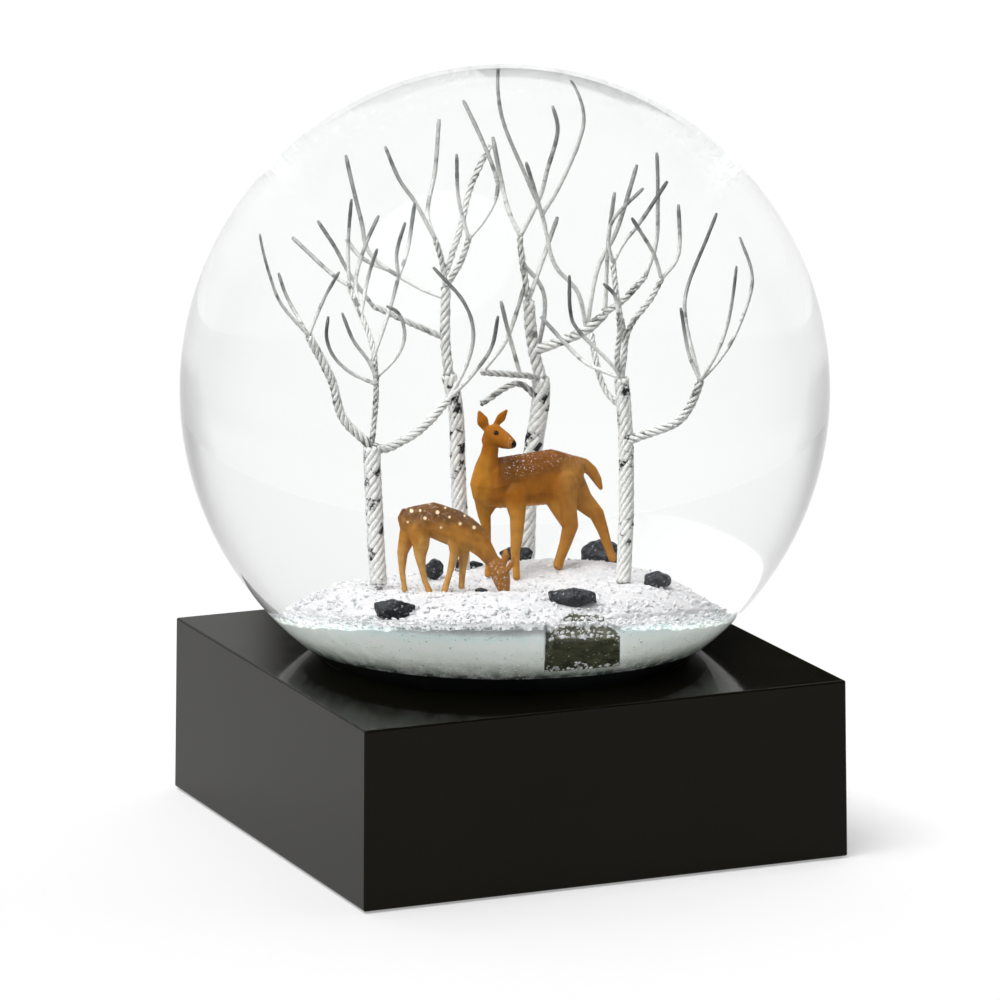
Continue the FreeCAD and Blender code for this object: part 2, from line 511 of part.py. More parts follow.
def make_deer(chains):
    pieces = []
    for chain in chains:
        pieces += tapered_run(chain)
    return turned_to_base(fused(pieces))


# ---- the filling --------------------------------------------------------------------------
def make_liquid(contents):
    cavity = Part.makeSphere(INNER_RADIUS, BALL_CENTRE).cut(cylinder(INNER_RADIUS, 0, STOPPER_TOP))
    for content in contents:
        cavity = cavity.cut(content)
    return max(cavity.Solids, key=lambda solid: solid.Volume)


def build():
    nodes = {
        "base_shell": make_base_shell(),
        "base_plate": make_base_plate(),
        "cover_screws": make_cover_screws(),
        "foot_pad": make_foot_pad(),
        "globe": make_globe(),
        "neck_stopper": make_neck_stopper(),
        "sealant_bead": make_sealant_bead(),
        "seat_adhesive": make_seat_adhesive(),
        "boulder": make_boulder(),
    }
    for name, (centre, size, seed) in ROCKS.items():
        nodes[name] = rock(centre, size, seed)
    for name in TREES:
        nodes[name] = make_tree(name)
    nodes["doe"] = make_deer(DOE)
    nodes["fawn"] = make_deer(FAWN)
    sunk = ["boulder", "doe", "fawn"] + list(ROCKS)
    pockets = [nodes[name] for name in sunk] + [trunk_pin(name) for name in TREES]
    nodes["landscape"] = make_landscape(pockets)
    nodes["settled_snow"] = make_settled_snow([nodes["boulder"], nodes["rock_front_left"]])
    nodes["boulder_snow"] = make_boulder_snow()
    nodes["loose_snow"] = make_loose_snow()
    wet = ["landscape", "settled_snow", "boulder", "doe", "fawn"] + list(ROCKS) + list(TREES)
    nodes["liquid"] = make_liquid([nodes[name] for name in wet])
    return nodes


def main():
    os.makedirs("parts", exist_ok=True)
    for name, shape in build().items():
        valid = shape.isValid() and all(solid.isClosed() for solid in shape.Solids)
        print(name, "solids", len(shape.Solids), "valid", valid, "volume", round(shape.Volume, 1))
        shape.exportStep("parts/" + name + ".step")


main()
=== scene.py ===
import functools
import itertools
import random
from math import acos, asin, atan2, cos, degrees, exp, hypot, pi, radians, sin, sqrt

import bmesh
import bpy
import numpy as np
from mathutils import Matrix, Vector, noise
from mathutils.bvhtree import BVHTree


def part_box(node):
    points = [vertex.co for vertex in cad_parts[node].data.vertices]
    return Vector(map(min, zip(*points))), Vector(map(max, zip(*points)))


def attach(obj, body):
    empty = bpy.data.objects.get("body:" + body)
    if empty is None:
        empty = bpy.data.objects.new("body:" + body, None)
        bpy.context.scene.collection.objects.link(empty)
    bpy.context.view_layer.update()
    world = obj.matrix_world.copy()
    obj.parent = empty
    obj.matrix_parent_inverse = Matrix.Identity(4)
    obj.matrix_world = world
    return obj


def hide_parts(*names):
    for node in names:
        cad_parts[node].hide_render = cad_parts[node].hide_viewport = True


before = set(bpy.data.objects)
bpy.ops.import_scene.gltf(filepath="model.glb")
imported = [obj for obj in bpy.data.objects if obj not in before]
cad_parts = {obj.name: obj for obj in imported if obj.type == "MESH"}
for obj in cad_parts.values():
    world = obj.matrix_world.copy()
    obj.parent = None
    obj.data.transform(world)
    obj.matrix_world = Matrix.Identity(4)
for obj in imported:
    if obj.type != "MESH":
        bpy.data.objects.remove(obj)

# Looks for the snow globe: glass, water, wire trees, deer, rocks, snow, base, light and camera.
# Shapes inside the ball are written in millimetres in the scene's own axes (x right, y back, z up),
# which are turned about Z from the row frame's axes; placed() takes them into the row frame.

MM = 0.001
SCENE_TURN = radians(-23.3)
TURN_COS, TURN_SIN = cos(SCENE_TURN), sin(SCENE_TURN)

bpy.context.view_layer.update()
globe_low, globe_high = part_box("globe")
BALL_RADIUS = (globe_high.x - globe_low.x) / 2 / MM
BALL_Z = globe_high.z / MM - BALL_RADIUS
GLASS_WALL = 2.5
INNER_RADIUS = BALL_RADIUS - GLASS_WALL
NECK_RADIUS = 33.5
NECK_BOTTOM = globe_low.z / MM
MOUTH_ROUNDING = 0.4
STOPPER_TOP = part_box("neck_stopper")[1].z / MM
WATER_OVERLAP = 0.15        # the filling reaches into the glass, so that no film of air lies between
SNOW_CLEARANCE = 0.08       # between the settled snow and the glass
LANDSCAPE_RADIUS = 30.4
GROUND_LEVEL = 55.4
TROUGH_LEVEL = 50.55        # of the loose snow where it meets the landscape
TROUGH_LOW = 43.0           # and where it meets the glass at the sides
TROUGH_FRONT, TROUGH_BACK = 7.2, 5.0    # how much higher it lies at the front and back
SNOW_SHADE_SCALE = 60.0           # the height that 1 stands for in the settled snow's painted shading and glow by height
BOULDER_ROOM = ((6.7, -47.0, 39.7), (20.2, -31.0, 53.0))    # low and high corners, free of settled snow

GLASS_IOR, WATER_IOR = 1.5, 1.333
GLASS_TINT, WATER_TINT = (0.965, 0.97, 0.967), (0.99, 0.994, 0.992)


def placed(points):
    """Scene axes in millimetres to row-frame metres, for an array of points."""
    turn = np.array(((TURN_COS, TURN_SIN, 0), (-TURN_SIN, TURN_COS, 0), (0, 0, 1)))
    return np.asarray(points, float) @ turn * MM


def ground(x, y):
    """Height of the snowy ground, as the landscape has it."""
    hump = 2.6 * exp(-(x - 4.0) ** 2 / 162.0 - (y - 9.0) ** 2 / 128.0)
    mound = 1.1 * exp(-((x - 14.0) ** 2 + (y - 7.0) ** 2) / 40.0)
    rim = 0.162 * max(0.0, hypot(x, y) - 21.0) ** 1.52
    return GROUND_LEVEL + hump + mound - rim


def smoothstep(low, high, value):
    t = np.clip((value - low) / (high - low), 0, 1)
    return t * t * (3 - 2 * t)


def trough(x, y):
    """Height of the loose snow between the landscape and the glass, deeper at the front."""
    reach = hypot(x, y)
    front = min(1.0, max(0.0, (0.5 - 0.5 * y / reach - 0.62) / 0.38))
    back = smoothstep(0.55, 0.85, y / reach)
    at_glass = TROUGH_LOW + TROUGH_FRONT * front ** 1.3 + TROUGH_BACK * back
    share = (reach - 29.4) / 15.5
    lumps = 0.45 * noise.noise(Vector((x, y, 3.0)) * 0.28) + 0.3 * noise.noise(Vector((x, y, 9.0)) * 0.9)
    return TROUGH_LEVEL + (at_glass - TROUGH_LEVEL) * share + lumps * min(1.0, 3 * share)


def grain(points, size, shift=(0, 0, 0)):
    """Noise at each point, in grains of that size."""
    return np.array([noise.noise(Vector(p) / size + Vector(shift)) for p in points])


def circle(count):
    """(cosine, sine) at count even steps round a circle."""
    return [(cos(2 * pi * step / count), sin(2 * pi * step / count)) for step in range(count)]


def quads(low, high, around):
    """Faces between two closed rows of points, whose first points have the numbers low and high."""
    return [(low + n, low + (n + 1) % around, high + (n + 1) % around, high + n) for n in range(around)]


def added(name, data):
    """A new object in the scene."""
    thing = bpy.data.objects.new(name, data)
    bpy.context.scene.collection.objects.link(thing)
    return thing


def remeshed(work, voxel):
    modifier = work.modifiers.new("remesh", "REMESH")
    modifier.mode = "VOXEL"
    modifier.voxel_size = voxel


def taken_mesh(work):
    """The object's mesh with its modifiers applied, its points and its faces. The object is removed."""
    graph = bpy.context.evaluated_depsgraph_get()
    graph.update()
    mesh = bpy.data.meshes.new_from_object(work.evaluated_get(graph))
    bpy.data.objects.remove(work)
    return mesh, np.array([v.co[:] for v in mesh.vertices]), [list(f.vertices) for f in mesh.polygons]


def recalculate(mesh):
    """Turn the faces outwards."""
    work = bmesh.new()
    work.from_mesh(mesh)
    bmesh.ops.recalc_face_normals(work, faces=work.faces)
    work.to_mesh(mesh)
    work.free()


# ---- materials ----
MATERIALS = {}


class Nodes:
    """A node tree, with short ways to add nodes and join them."""

    def __init__(self, tree, coordinates):
        self.tree = tree
        self.where = self.add("ShaderNodeTexCoord").outputs[coordinates]

    def add(self, kind, **inputs):
        node = self.tree.nodes.new(kind)
        for key, value in inputs.items():
            self.feed(node.inputs[key.replace("_", " ")], value)
        return node

    def feed(self, socket, value):
        if isinstance(value, bpy.types.NodeSocket):
            self.tree.links.new(value, socket)
        else:
            socket.default_value = value

    def noise(self, size, detail=3.0, roughness=0.55, where=None):
        """Noise whose blotches are about size millimetres across."""
        return self.add("ShaderNodeTexNoise", Vector=where or self.where, Scale=1.0 / (size * MM),
                        Detail=detail, Roughness=roughness).outputs["Fac"]

    def ramp(self, value, stops):
        node = self.add("ShaderNodeValToRGB", Fac=value)
        points = node.color_ramp.elements
        while len(points) < len(stops):
            points.new(0.5)
        for point, (position, colour) in zip(points, stops):
            point.position = position
            if isinstance(colour, (int, float)):
                colour = (colour, colour, colour)
            point.color = (*colour, 1.0)
        return node.outputs["Color"]

    def math(self, operation, a, b=0.0, clamp=False):
        node = self.add("ShaderNodeMath")
        node.operation = operation
        node.use_clamp = clamp
        self.feed(node.inputs[0], a)
        self.feed(node.inputs[1], b)
        return node.outputs[0]

    def times(self, *factors):
        return functools.reduce(lambda a, b: self.math("MULTIPLY", a, b), factors)

    def vector(self, operation, a, b=(0.0, 0.0, 0.0)):
        node = self.add("ShaderNodeVectorMath")
        node.operation = operation
        self.feed(node.inputs[0], a)
        self.feed(node.inputs[1], b)
        return node.outputs

    def mix(self, factor, a, b, blend="MIX"):
        node = self.tree.nodes.new("ShaderNodeMix")
        node.data_type = "RGBA"
        node.blend_type = blend
        for socket, value in ((node.inputs[0], factor), (node.inputs[6], a), (node.inputs[7], b)):
            if isinstance(value, tuple):
                value = (*value, 1.0)
            self.feed(socket, value)
        return node.outputs[2]

    def attribute(self, name, output="Fac"):
        node = self.add("ShaderNodeAttribute")
        node.attribute_name = name
        return node.outputs[output]


class Paint(Nodes):
    """A material with its Principled shader, kept in MATERIALS."""

    def __init__(self, name, specular=0.5, **sockets):
        material = MATERIALS[name] = bpy.data.materials.new(name)
        material.use_nodes = True
        super().__init__(material.node_tree, "Object")
        self.shader = self.tree.nodes["Principled BSDF"]
        self.set("Specular IOR Level", specular)
        for socket, value in sockets.items():
            self.set(socket.replace("_", " "), value)

    def set(self, socket, value):
        self.feed(self.shader.inputs[socket], value)

    def rough(self, size, low, high):
        """Roughness from low to high, in blotches of that size."""
        self.set("Roughness", self.ramp(self.noise(size), [(0.3, low), (0.7, high)]))

    def bump(self, height, strength, distance):
        """Bump from a height in 0..1 that stands for distance millimetres."""
        node = self.add("ShaderNodeBump", Height=height, Strength=strength, Distance=distance * MM)
        self.set("Normal", node.outputs["Normal"])


def make_base_black():
    p = Paint("base_black", specular=0.1, Specular_Tint=(1.0, 0.95, 0.84, 1.0))
    cloud = p.noise(30.0, 2.0)
    grain = p.noise(0.35, 4.0)
    tone = p.ramp(cloud, [(0.3, (0.0032, 0.0029, 0.0014)), (0.7, (0.0044, 0.004, 0.002))])
    p.set("Base Color", p.mix(p.times(grain, 0.25), tone, (0.0065, 0.006, 0.0045)))
    p.set("Roughness", p.ramp(p.noise(6.0), [(0.2, 0.06), (0.8, 0.1)]))
    p.bump(grain, 0.05, 0.01)


def make_plain(name, grain, tones, rough, bump, **sockets):
    """A mottled material. Grain is the mottling's noise and tones its ramp. Rough is a noise's size, then
    low and high roughness. Bump is strength, distance and, where it isn't the mottling, a noise's size."""
    p = Paint(name, **sockets)
    mottling = p.noise(*grain)
    p.set("Base Color", p.ramp(mottling, tones))
    size, *levels = rough
    p.set("Roughness", p.ramp(p.noise(size), list(zip((0.2, 0.8), levels))))
    p.bump(p.noise(bump[2]) if bump[2:] else mottling, *bump[:2])


def make_hidden_materials():
    """The plate, screws, felt, stopper and glue, which are in the base or under it."""
    make_plain("plate_black", (0.8, 4.0), [(0.3, 0.018), (0.7, 0.035)], (3.0, 0.45, 0.65), (0.4, 0.06),
               specular=0.35)
    make_plain("pad_felt", (0.22, 5.0, 0.7), [(0.25, (0.008, 0.008, 0.009)), (0.8, (0.045, 0.045, 0.048))],
               (2.0, 0.88, 0.97), (0.8, 0.15), Sheen_Weight=0.4, Sheen_Roughness=0.5)
    make_plain("screw_steel", (0.7,), [(0.3, (0.42, 0.42, 0.43)), (0.7, (0.62, 0.62, 0.62))],
               (0.3, 0.25, 0.42), (0.15, 0.02), Metallic=1.0)
    make_plain("stopper_rubber", (5.0,), [(0.3, (0.006, 0.01, 0.009)), (0.7, (0.012, 0.018, 0.016))],
               (1.5, 0.5, 0.7), (0.2, 0.04, 0.6), specular=0.3)
    make_plain("clear_silicone", (3.0,), [(0.3, (0.72, 0.75, 0.73)), (0.7, (0.85, 0.87, 0.86))],
               (1.0, 0.25, 0.45), (0.3, 0.1, 2.0), Transmission_Weight=0.6, IOR=1.41)


def make_glass(name, ior, tint, reflection):
    """Clear material: tint is what it passes, reflection what its surface keeps of its mirror."""
    p = Paint(name, Transmission_Weight=1.0, IOR=ior, Roughness=0.0,
              Specular_Tint=(reflection, reflection, reflection, 1.0))
    drift = p.noise(40.0, 1.0)
    p.set("Base Color", p.ramp(drift, [(0.3, tint), (0.7, tuple(min(1.0, c + 0.006) for c in tint))]))


def make_cast_snow():
    p = Paint("cast_snow", specular=0.12)
    blotch = p.noise(3.5, 3.0)
    body = p.ramp(blotch, [(0.35, (0.6, 0.595, 0.615)), (0.65, (0.7, 0.68, 0.69))])
    # painted shade: bluish-grey patches, placed by noise, stand for the shade in the snow's hollows
    shaded_hollows = p.ramp(p.noise(0.9, 3.0), [(0.34, 0.5), (0.48, 0.0)])
    body = p.mix(shaded_hollows, body, (0.5, 0.54, 0.55))
    glints = p.ramp(p.noise(0.5, 2.0), [(0.58, 0.0), (0.64, 0.9)])
    p.set("Base Color", p.mix(glints, body, (0.84, 0.84, 0.85)))
    p.rough(0.8, 0.35, 0.65)
    p.bump(p.noise(0.45, 5.0, 0.65), 0.9, 0.25)


def make_settled_snow():
    """Snow packed against the glass. Its colour by height is painted shading: whitest high up, painted
    darker along its upper edge where light from above falls on it, minty below and darkening downwards as
    painted shade to dark at its foot. It glows a little, as painted light standing for light that passes
    through it from above.
    """
    p = Paint("settled_snow", specular=0.12, Emission_Strength=0.42)
    height = p.times(p.add("ShaderNodeSeparateXYZ", Vector=p.where).outputs["Z"], 1.0 / (SNOW_SHADE_SCALE * MM))
    # painted shading by height: darker along the upper edge that faces the light, darkening downwards as
    # painted shade to dark at the foot
    body = p.ramp(height, [(0.64, (0.03, 0.04, 0.034)), (0.665, (0.36, 0.4, 0.35)),
                           (0.7, (0.7, 0.745, 0.69)), (0.755, (0.76, 0.82, 0.78)),
                           (0.79, (0.64, 0.74, 0.735)), (0.81, (0.47, 0.51, 0.51)),
                           (0.84, (0.42, 0.43, 0.435))])
    blotch = p.noise(2.8, 4.0, 0.6)
    body = p.mix(p.ramp(blotch, [(0.45, 0.0), (0.72, 0.35)]), body, (0.95, 0.96, 0.95))
    specks = p.ramp(p.noise(0.6, 1.0), [(0.7, 0.0), (0.74, 0.6)])
    body = p.mix(specks, body, (0.06, 0.09, 0.07))
    glints = p.ramp(p.noise(0.42, 1.0), [(0.7, 0.0), (0.74, 1.0)])
    body = p.mix(glints, body, (0.95, 0.97, 0.97))
    p.set("Base Color", body)
    # painted light: below its upper edge the snow glows in its own colour, standing for light that passes
    # through it from above
    p.set("Emission Color", p.mix(p.ramp(height, [(0.79, 0.0), (0.815, 0.85)]), body, (0.0, 0.0, 0.0)))
    p.rough(0.8, 0.35, 0.65)
    p.bump(p.noise(0.5, 5.0, 0.65), 0.6, 0.2)


def make_loose_snow():
    p = Paint("loose_snow", specular=0.2)
    tone = p.attribute("tone")
    p.set("Base Color", p.ramp(tone, [(0.0, (0.5, 0.54, 0.55)), (0.25, (0.6, 0.6, 0.62)),
                                      (0.75, (0.76, 0.75, 0.76)), (1.0, (0.88, 0.85, 0.87))]))
    p.set("Roughness", p.ramp(tone, [(0.0, 0.2), (1.0, 0.55)]))
    p.bump(p.noise(0.15, 2.0), 0.3, 0.04)


def make_painted_wire():
    """White brushed-on paint; bare wire shows where the paint thins, in streaks along the strands. The
    grooves between the strands are darkened as painted shade.
    """
    p = Paint("painted_wire", specular=0.12)
    strand = p.attribute("strand")
    along = p.attribute("along")
    bare = p.attribute("bare")
    track = p.add("ShaderNodeCombineXYZ", X=p.times(strand, 0.05),
                  Y=p.times(along, MM)).outputs[0]
    streak = p.noise(2.2, 3.0, 0.6, where=track)
    fine = p.noise(0.35, 3.0)
    patch = p.noise(4.0, 2.0)
    worn = p.math("ADD", p.times(streak, 0.5), p.times(fine, 0.2))
    worn = p.math("ADD", worn, p.times(patch, 0.3))
    dark = p.ramp(worn, [(0.545, 0.0), (0.585, 1.0)])
    paint = p.ramp(fine, [(0.3, (0.56, 0.56, 0.54)), (0.6, (0.78, 0.785, 0.77))])
    wire = p.ramp(fine, [(0.3, (0.06, 0.065, 0.065)), (0.7, (0.13, 0.135, 0.135))])
    covered = p.mix(p.times(dark, p.attribute("wear_and_shade")), paint, (0.018, 0.018, 0.02))
    # painted shade: darker where the surface lies deep between the strands, in the grooves, weighted like
    # the worn streaks
    groove_shade = p.ramp(p.attribute("depth"), [(0.0, 0.0), (0.38, 1.0)])
    groove_shade = p.times(groove_shade, p.ramp(p.noise(1.6, 2.0), [(0.38, 0.35), (0.62, 1.0)]))
    covered = p.mix(p.times(groove_shade, p.attribute("wear_and_shade")), covered, (0.08, 0.08, 0.076))
    shown = p.math("ADD", bare, p.times(p.math("SUBTRACT", streak, 0.5), 0.5), clamp=True)
    shown = p.times(shown, p.math("GREATER_THAN", bare, 0.001))
    p.set("Base Color", p.mix(shown, covered, wire))
    p.set("Roughness", p.ramp(fine, [(0.3, 0.45), (0.7, 0.7)]))
    p.bump(fine, 0.6, 0.08)


def make_coat(name):
    """Painted resin: the colour is brushed on per vertex, then broken up by fine noise."""
    p = Paint(name, Subsurface_Weight=0.25, Subsurface_Scale=0.001, specular=0.06,
              Subsurface_Radius=(1.0, 0.45, 0.08))
    hide = p.attribute("coat", "Color")
    darker = p.mix(1.0, hide, (0.45, 0.4, 0.3), "MULTIPLY")
    brushed = p.mix(p.ramp(p.noise(1.1, 4.0, 0.6), [(0.4, 0.0), (0.75, 0.6)]), hide, darker)
    specks = p.ramp(p.noise(0.26, 1.0), [(0.63, 0.0), (0.68, 1.0)])
    brushed = p.mix(p.times(specks, p.attribute("dust")), brushed, (0.75, 0.74, 0.72))
    p.set("Base Color", p.mix(p.attribute("keep"), brushed, hide))
    p.rough(0.6, 0.38, 0.6)
    p.bump(p.noise(0.3, 3.0), 0.25, 0.05)


def make_boulder_stone():
    p = Paint("boulder_stone", specular=0.12)
    patch = p.noise(2.0, 4.0, 0.6)
    body = p.ramp(patch, [(0.3, (0.03, 0.034, 0.026)), (0.5, (0.075, 0.076, 0.044)),
                          (0.75, (0.115, 0.115, 0.07))])
    chips = p.ramp(p.noise(0.5, 2.0), [(0.66, 0.0), (0.7, 0.8)])
    p.set("Base Color", p.mix(chips, body, (0.55, 0.56, 0.54)))
    p.rough(0.7, 0.35, 0.7)
    p.bump(patch, 0.5, 0.25)


def make_dark_stone():
    p = Paint("dark_stone", specular=0.2)
    patch = p.noise(0.9, 4.0, 0.6)
    body = p.ramp(patch, [(0.3, (0.005, 0.006, 0.008)), (0.7, (0.022, 0.025, 0.032))])
    dust = p.ramp(p.noise(0.45, 2.0), [(0.65, 0.0), (0.68, 0.6)])
    p.set("Base Color", p.mix(dust, body, (0.55, 0.57, 0.58)))
    p.rough(0.5, 0.25, 0.6)
    p.bump(patch, 0.6, 0.2)


# ---- pieces ----
def make_piece(name, points, faces, slot, replaces, values=None, smooth=True, in_row_frame=False, look=None):
    """A mesh object from points (scene millimetres unless in_row_frame), riding on the root body."""
    mesh = bpy.data.meshes.new(name)
    where = np.asarray(points, float) if in_row_frame else placed(points)
    mesh.from_pydata(where.tolist(), [], [list(map(int, face)) for face in faces])
    mesh.materials.append(MATERIALS[look or slot])
    for key, numbers in (values or {}).items():
        numbers = np.asarray(numbers, np.float32)
        kind = "FLOAT" if numbers.ndim == 1 else "FLOAT_COLOR"
        field = "value" if numbers.ndim == 1 else "color"
        mesh.attributes.new(key, kind, "POINT").data.foreach_set(field, numbers.ravel())
    mesh.polygons.foreach_set("use_smooth", [smooth] * len(mesh.polygons))
    piece = added(name, mesh)
    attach(piece, "root")
    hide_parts(*replaces)
    return piece


def skin(rows):
    """Points and faces of the skin over rows of points round an axis. A row of one point is a pole."""
    around = max(map(len, rows))
    faces = []
    low = 0
    for row, following in zip(rows, rows[1:]):
        high = low + len(row)
        if len(row) == 1:
            faces += [(low, high + (n + 1) % around, high + n) for n in range(around)]
        elif len(following) == 1:
            faces += [(low + n, low + (n + 1) % around, high) for n in range(around)]
        else:
            faces += quads(low, high, around)
        low = high
    return [point for row in rows for point in row], faces


def lathe(profile, around):
    """A (radius, height) outline turned about Z."""
    return skin([[(radius * x, radius * y, height) for x, y in circle(around if radius else 1)]
                 for radius, height in profile])


def arc(centre_z, radius, start, end, steps):
    """(radius, height) points on a circle about the axis, from start to end degrees of elevation."""
    tilts = [radians(start + (end - start) * step / steps) for step in range(steps + 1)]
    return [(radius * cos(tilt), centre_z + radius * sin(tilt)) for tilt in tilts]


def make_globe():
    """Glass with an outer and an inner skin, joined at the mouth of the neck."""
    around, steps = 256, 128
    bore = NECK_RADIUS - GLASS_WALL
    outer_start = -degrees(acos(NECK_RADIUS / BALL_RADIUS))
    inner_start = -degrees(acos(bore / INNER_RADIUS))
    neck_top = BALL_Z + BALL_RADIUS * sin(radians(outer_start))
    bore_top = BALL_Z + INNER_RADIUS * sin(radians(inner_start))
    lip = NECK_BOTTOM + MOUTH_ROUNDING
    outside = [(NECK_RADIUS - MOUTH_ROUNDING, NECK_BOTTOM), (NECK_RADIUS, lip)]
    outside += [(NECK_RADIUS, z) for z in np.linspace(NECK_BOTTOM + 2, neck_top - 0.3, 5)]
    outside += arc(BALL_Z, BALL_RADIUS, outer_start + 0.25, 89.6, steps) + [(0, BALL_Z + BALL_RADIUS)]
    inside = [(0, BALL_Z + INNER_RADIUS)] + arc(BALL_Z, INNER_RADIUS, 89.6, inner_start + 0.25, steps)
    inside += [(bore, z) for z in np.linspace(bore_top - 0.3, NECK_BOTTOM + 2, 5)]
    inside += [(bore, lip), (bore + MOUTH_ROUNDING, NECK_BOTTOM)]
    outer_points, outer_faces = lathe(outside, around)
    inner_points, inner_faces = lathe(inside, around)
    shift = len(outer_points)
    points = outer_points + inner_points
    faces = outer_faces + [[c + shift for c in face] for face in inner_faces]
    faces += quads(len(points) - around, 0, around)
    piece = make_piece("glass_ball", points, faces, "ball_glass", ["globe"])
    piece.data.materials.append(MATERIALS["ball_glass_inner"])
    inner_share = [0] * len(outer_faces) + [1] * (len(faces) - len(outer_faces))
    piece.data.polygons.foreach_set("material_index", inner_share)
    recalculate(piece.data)
    piece.visible_shadow = False


def make_water():
    radius = INNER_RADIUS + WATER_OVERLAP
    bottom = STOPPER_TOP - 0.1
    start = degrees(asin((bottom - BALL_Z) / radius))
    profile = [(0, bottom)] + arc(BALL_Z, radius, start, 89.6, 128) + [(0, BALL_Z + radius)]
    piece = make_piece("water", *lathe(profile, 256), "clear_liquid", ["liquid"])
    recalculate(piece.data)
    piece.visible_shadow = False


# ---- landscape ----
def make_landscape():
    """Cast hill: a dimpled top, a soft uneven edge and a wall that ripples like settled snow."""
    around, rings, drops = 360, 70, 24
    rows = [[(0.0, 0.0, ground(0, 0))]]
    for ring in range(1, rings + 1):
        radius = (LANDSCAPE_RADIUS - 0.6) * ring / rings
        rows.append([])
        for x, y in circle(around):
            x, y = radius * x, radius * y
            dimple = noise.noise(Vector((x, y, 0.0)) * 1.3) * 0.16
            dimple += noise.noise(Vector((x, y, 5.0)) * 0.35) * 0.3
            rows[-1].append((x, y, ground(x, y) + dimple))
    for drop in range(drops + 1):
        rows.append([])
        for x, y in circle(around):
            top = ground(LANDSCAPE_RADIUS * x, LANDSCAPE_RADIUS * y) - 0.25
            z = top + (STOPPER_TOP - top) * drop / drops
            ripple = noise.noise(Vector((x * 12, y * 12, z * 0.25))) * 0.22
            ripple += noise.noise(Vector((x * 34, y * 34, z * 0.8))) * 0.12
            radius = LANDSCAPE_RADIUS - 0.1 + min(ripple, 0.1) - 0.35 * max(0.0, 1 - drop / 4)
            rows[-1].append((radius * x, radius * y, z))
    rows.append([(0.0, 0.0, STOPPER_TOP)])
    piece = make_piece("snowy_hill", *skin(rows), "cast_snow", ["landscape"])
    recalculate(piece.data)


def without_box(points, faces, box):
    """The closed skin with a box cut away, given as its low and high corners."""
    holders = []
    corners = list(itertools.product(*zip(*box)))
    sides = [(0, 1, 3, 2), (4, 6, 7, 5), (0, 4, 5, 1), (2, 3, 7, 6), (0, 2, 6, 4), (1, 5, 7, 3)]
    for spots, joins in ((points, faces), (corners, sides)):
        mesh = bpy.data.meshes.new("work")
        mesh.from_pydata([tuple(map(float, spot)) for spot in spots], [], joins)
        recalculate(mesh)
        holders.append(added("work", mesh))
    cut = holders[0].modifiers.new("cut", "BOOLEAN")
    cut.operation = "DIFFERENCE"
    cut.solver = "EXACT"
    cut.object = holders[1]
    _, points, faces = taken_mesh(holders[0])
    bpy.data.objects.remove(holders[1])
    return points, faces


def make_trough_snow():
    """Ring of loose snow: a lumpy slope that rounds off at the glass and is pressed smooth against it."""
    around, steps, drops = 540, 26, 22
    wall = INNER_RADIUS - SNOW_CLEARANCE
    inner_edge = LANDSCAPE_RADIUS - 0.6
    foot = STOPPER_TOP + 0.05
    points = []
    for x, y in circle(around):
        contact = 45.0
        for _ in range(6):
            edge_z = trough(contact * x, contact * y) - 1.0
            contact = sqrt(wall ** 2 - (BALL_Z - edge_z) ** 2)
        for number in range(steps):
            share = number / steps
            radius = inner_edge + (contact - inner_edge) * share
            rounding = max(0.0, 5 * share - 4) ** 2
            points.append((radius * x, radius * y, trough(radius * x, radius * y) - rounding))
        for number in range(drops + 1):
            z = edge_z + (foot - edge_z) * number / drops
            radius = sqrt(wall ** 2 - (BALL_Z - z) ** 2)
            points.append((radius * x, radius * y, z))
        points.append((inner_edge * x, inner_edge * y, foot))
    count = steps + drops + 2
    faces = []
    for step in range(around):
        faces += quads(step * count, (step + 1) % around * count, count)
    points, faces = without_box(points, faces, BOULDER_ROOM)
    clump_points, clump_faces, _ = lumps(edge_clumps(wall), 31)
    faces += [[corner + len(points) for corner in face] for face in clump_faces]
    points = np.concatenate([points, clump_points])
    piece = make_piece("settled_snow_ring", points, faces, "loose_snow", ["settled_snow"],
                       look="settled_snow")
    recalculate(piece.data)
    piece.data.set_sharp_from_angle(angle=radians(50))


def edge_clumps(wall):
    """Spots for the clumps along the settled snow's upper edge, clear of the boulder."""
    rng = random.Random(31)
    spots = []
    while len(spots) < 1500:
        turn = rng.uniform(0, 2 * pi)
        x, y = cos(turn), sin(turn)
        z = trough(43 * x, 43 * y) - 0.4 - abs(rng.gauss(0, 0.9))
        size = rng.uniform(0.3, 1.1)
        radius = sqrt(wall ** 2 - (BALL_Z - z) ** 2) - 0.56 * size
        if not 6.2 < radius * x < 20.7 or y > 0:
            spots.append((radius * x, radius * y, z, size))
    return spots


def flake_shapes(rng, count=24):
    """A few uneven low-poly lumps, each as (unit points, faces)."""
    work = bmesh.new()
    bmesh.ops.create_icosphere(work, subdivisions=1, radius=1.0)
    corners = np.array([v.co[:] for v in work.verts])
    faces = [[v.index for v in f.verts] for f in work.faces]
    work.free()
    shapes = []
    for _ in range(count):
        squash = np.array([rng.uniform(0.7, 1.0), rng.uniform(0.7, 1.0), rng.uniform(0.5, 0.9)])
        bumps = np.array([rng.uniform(0.72, 1.1) for _ in corners])
        shapes.append((corners * bumps[:, None] * squash, faces))
    return shapes


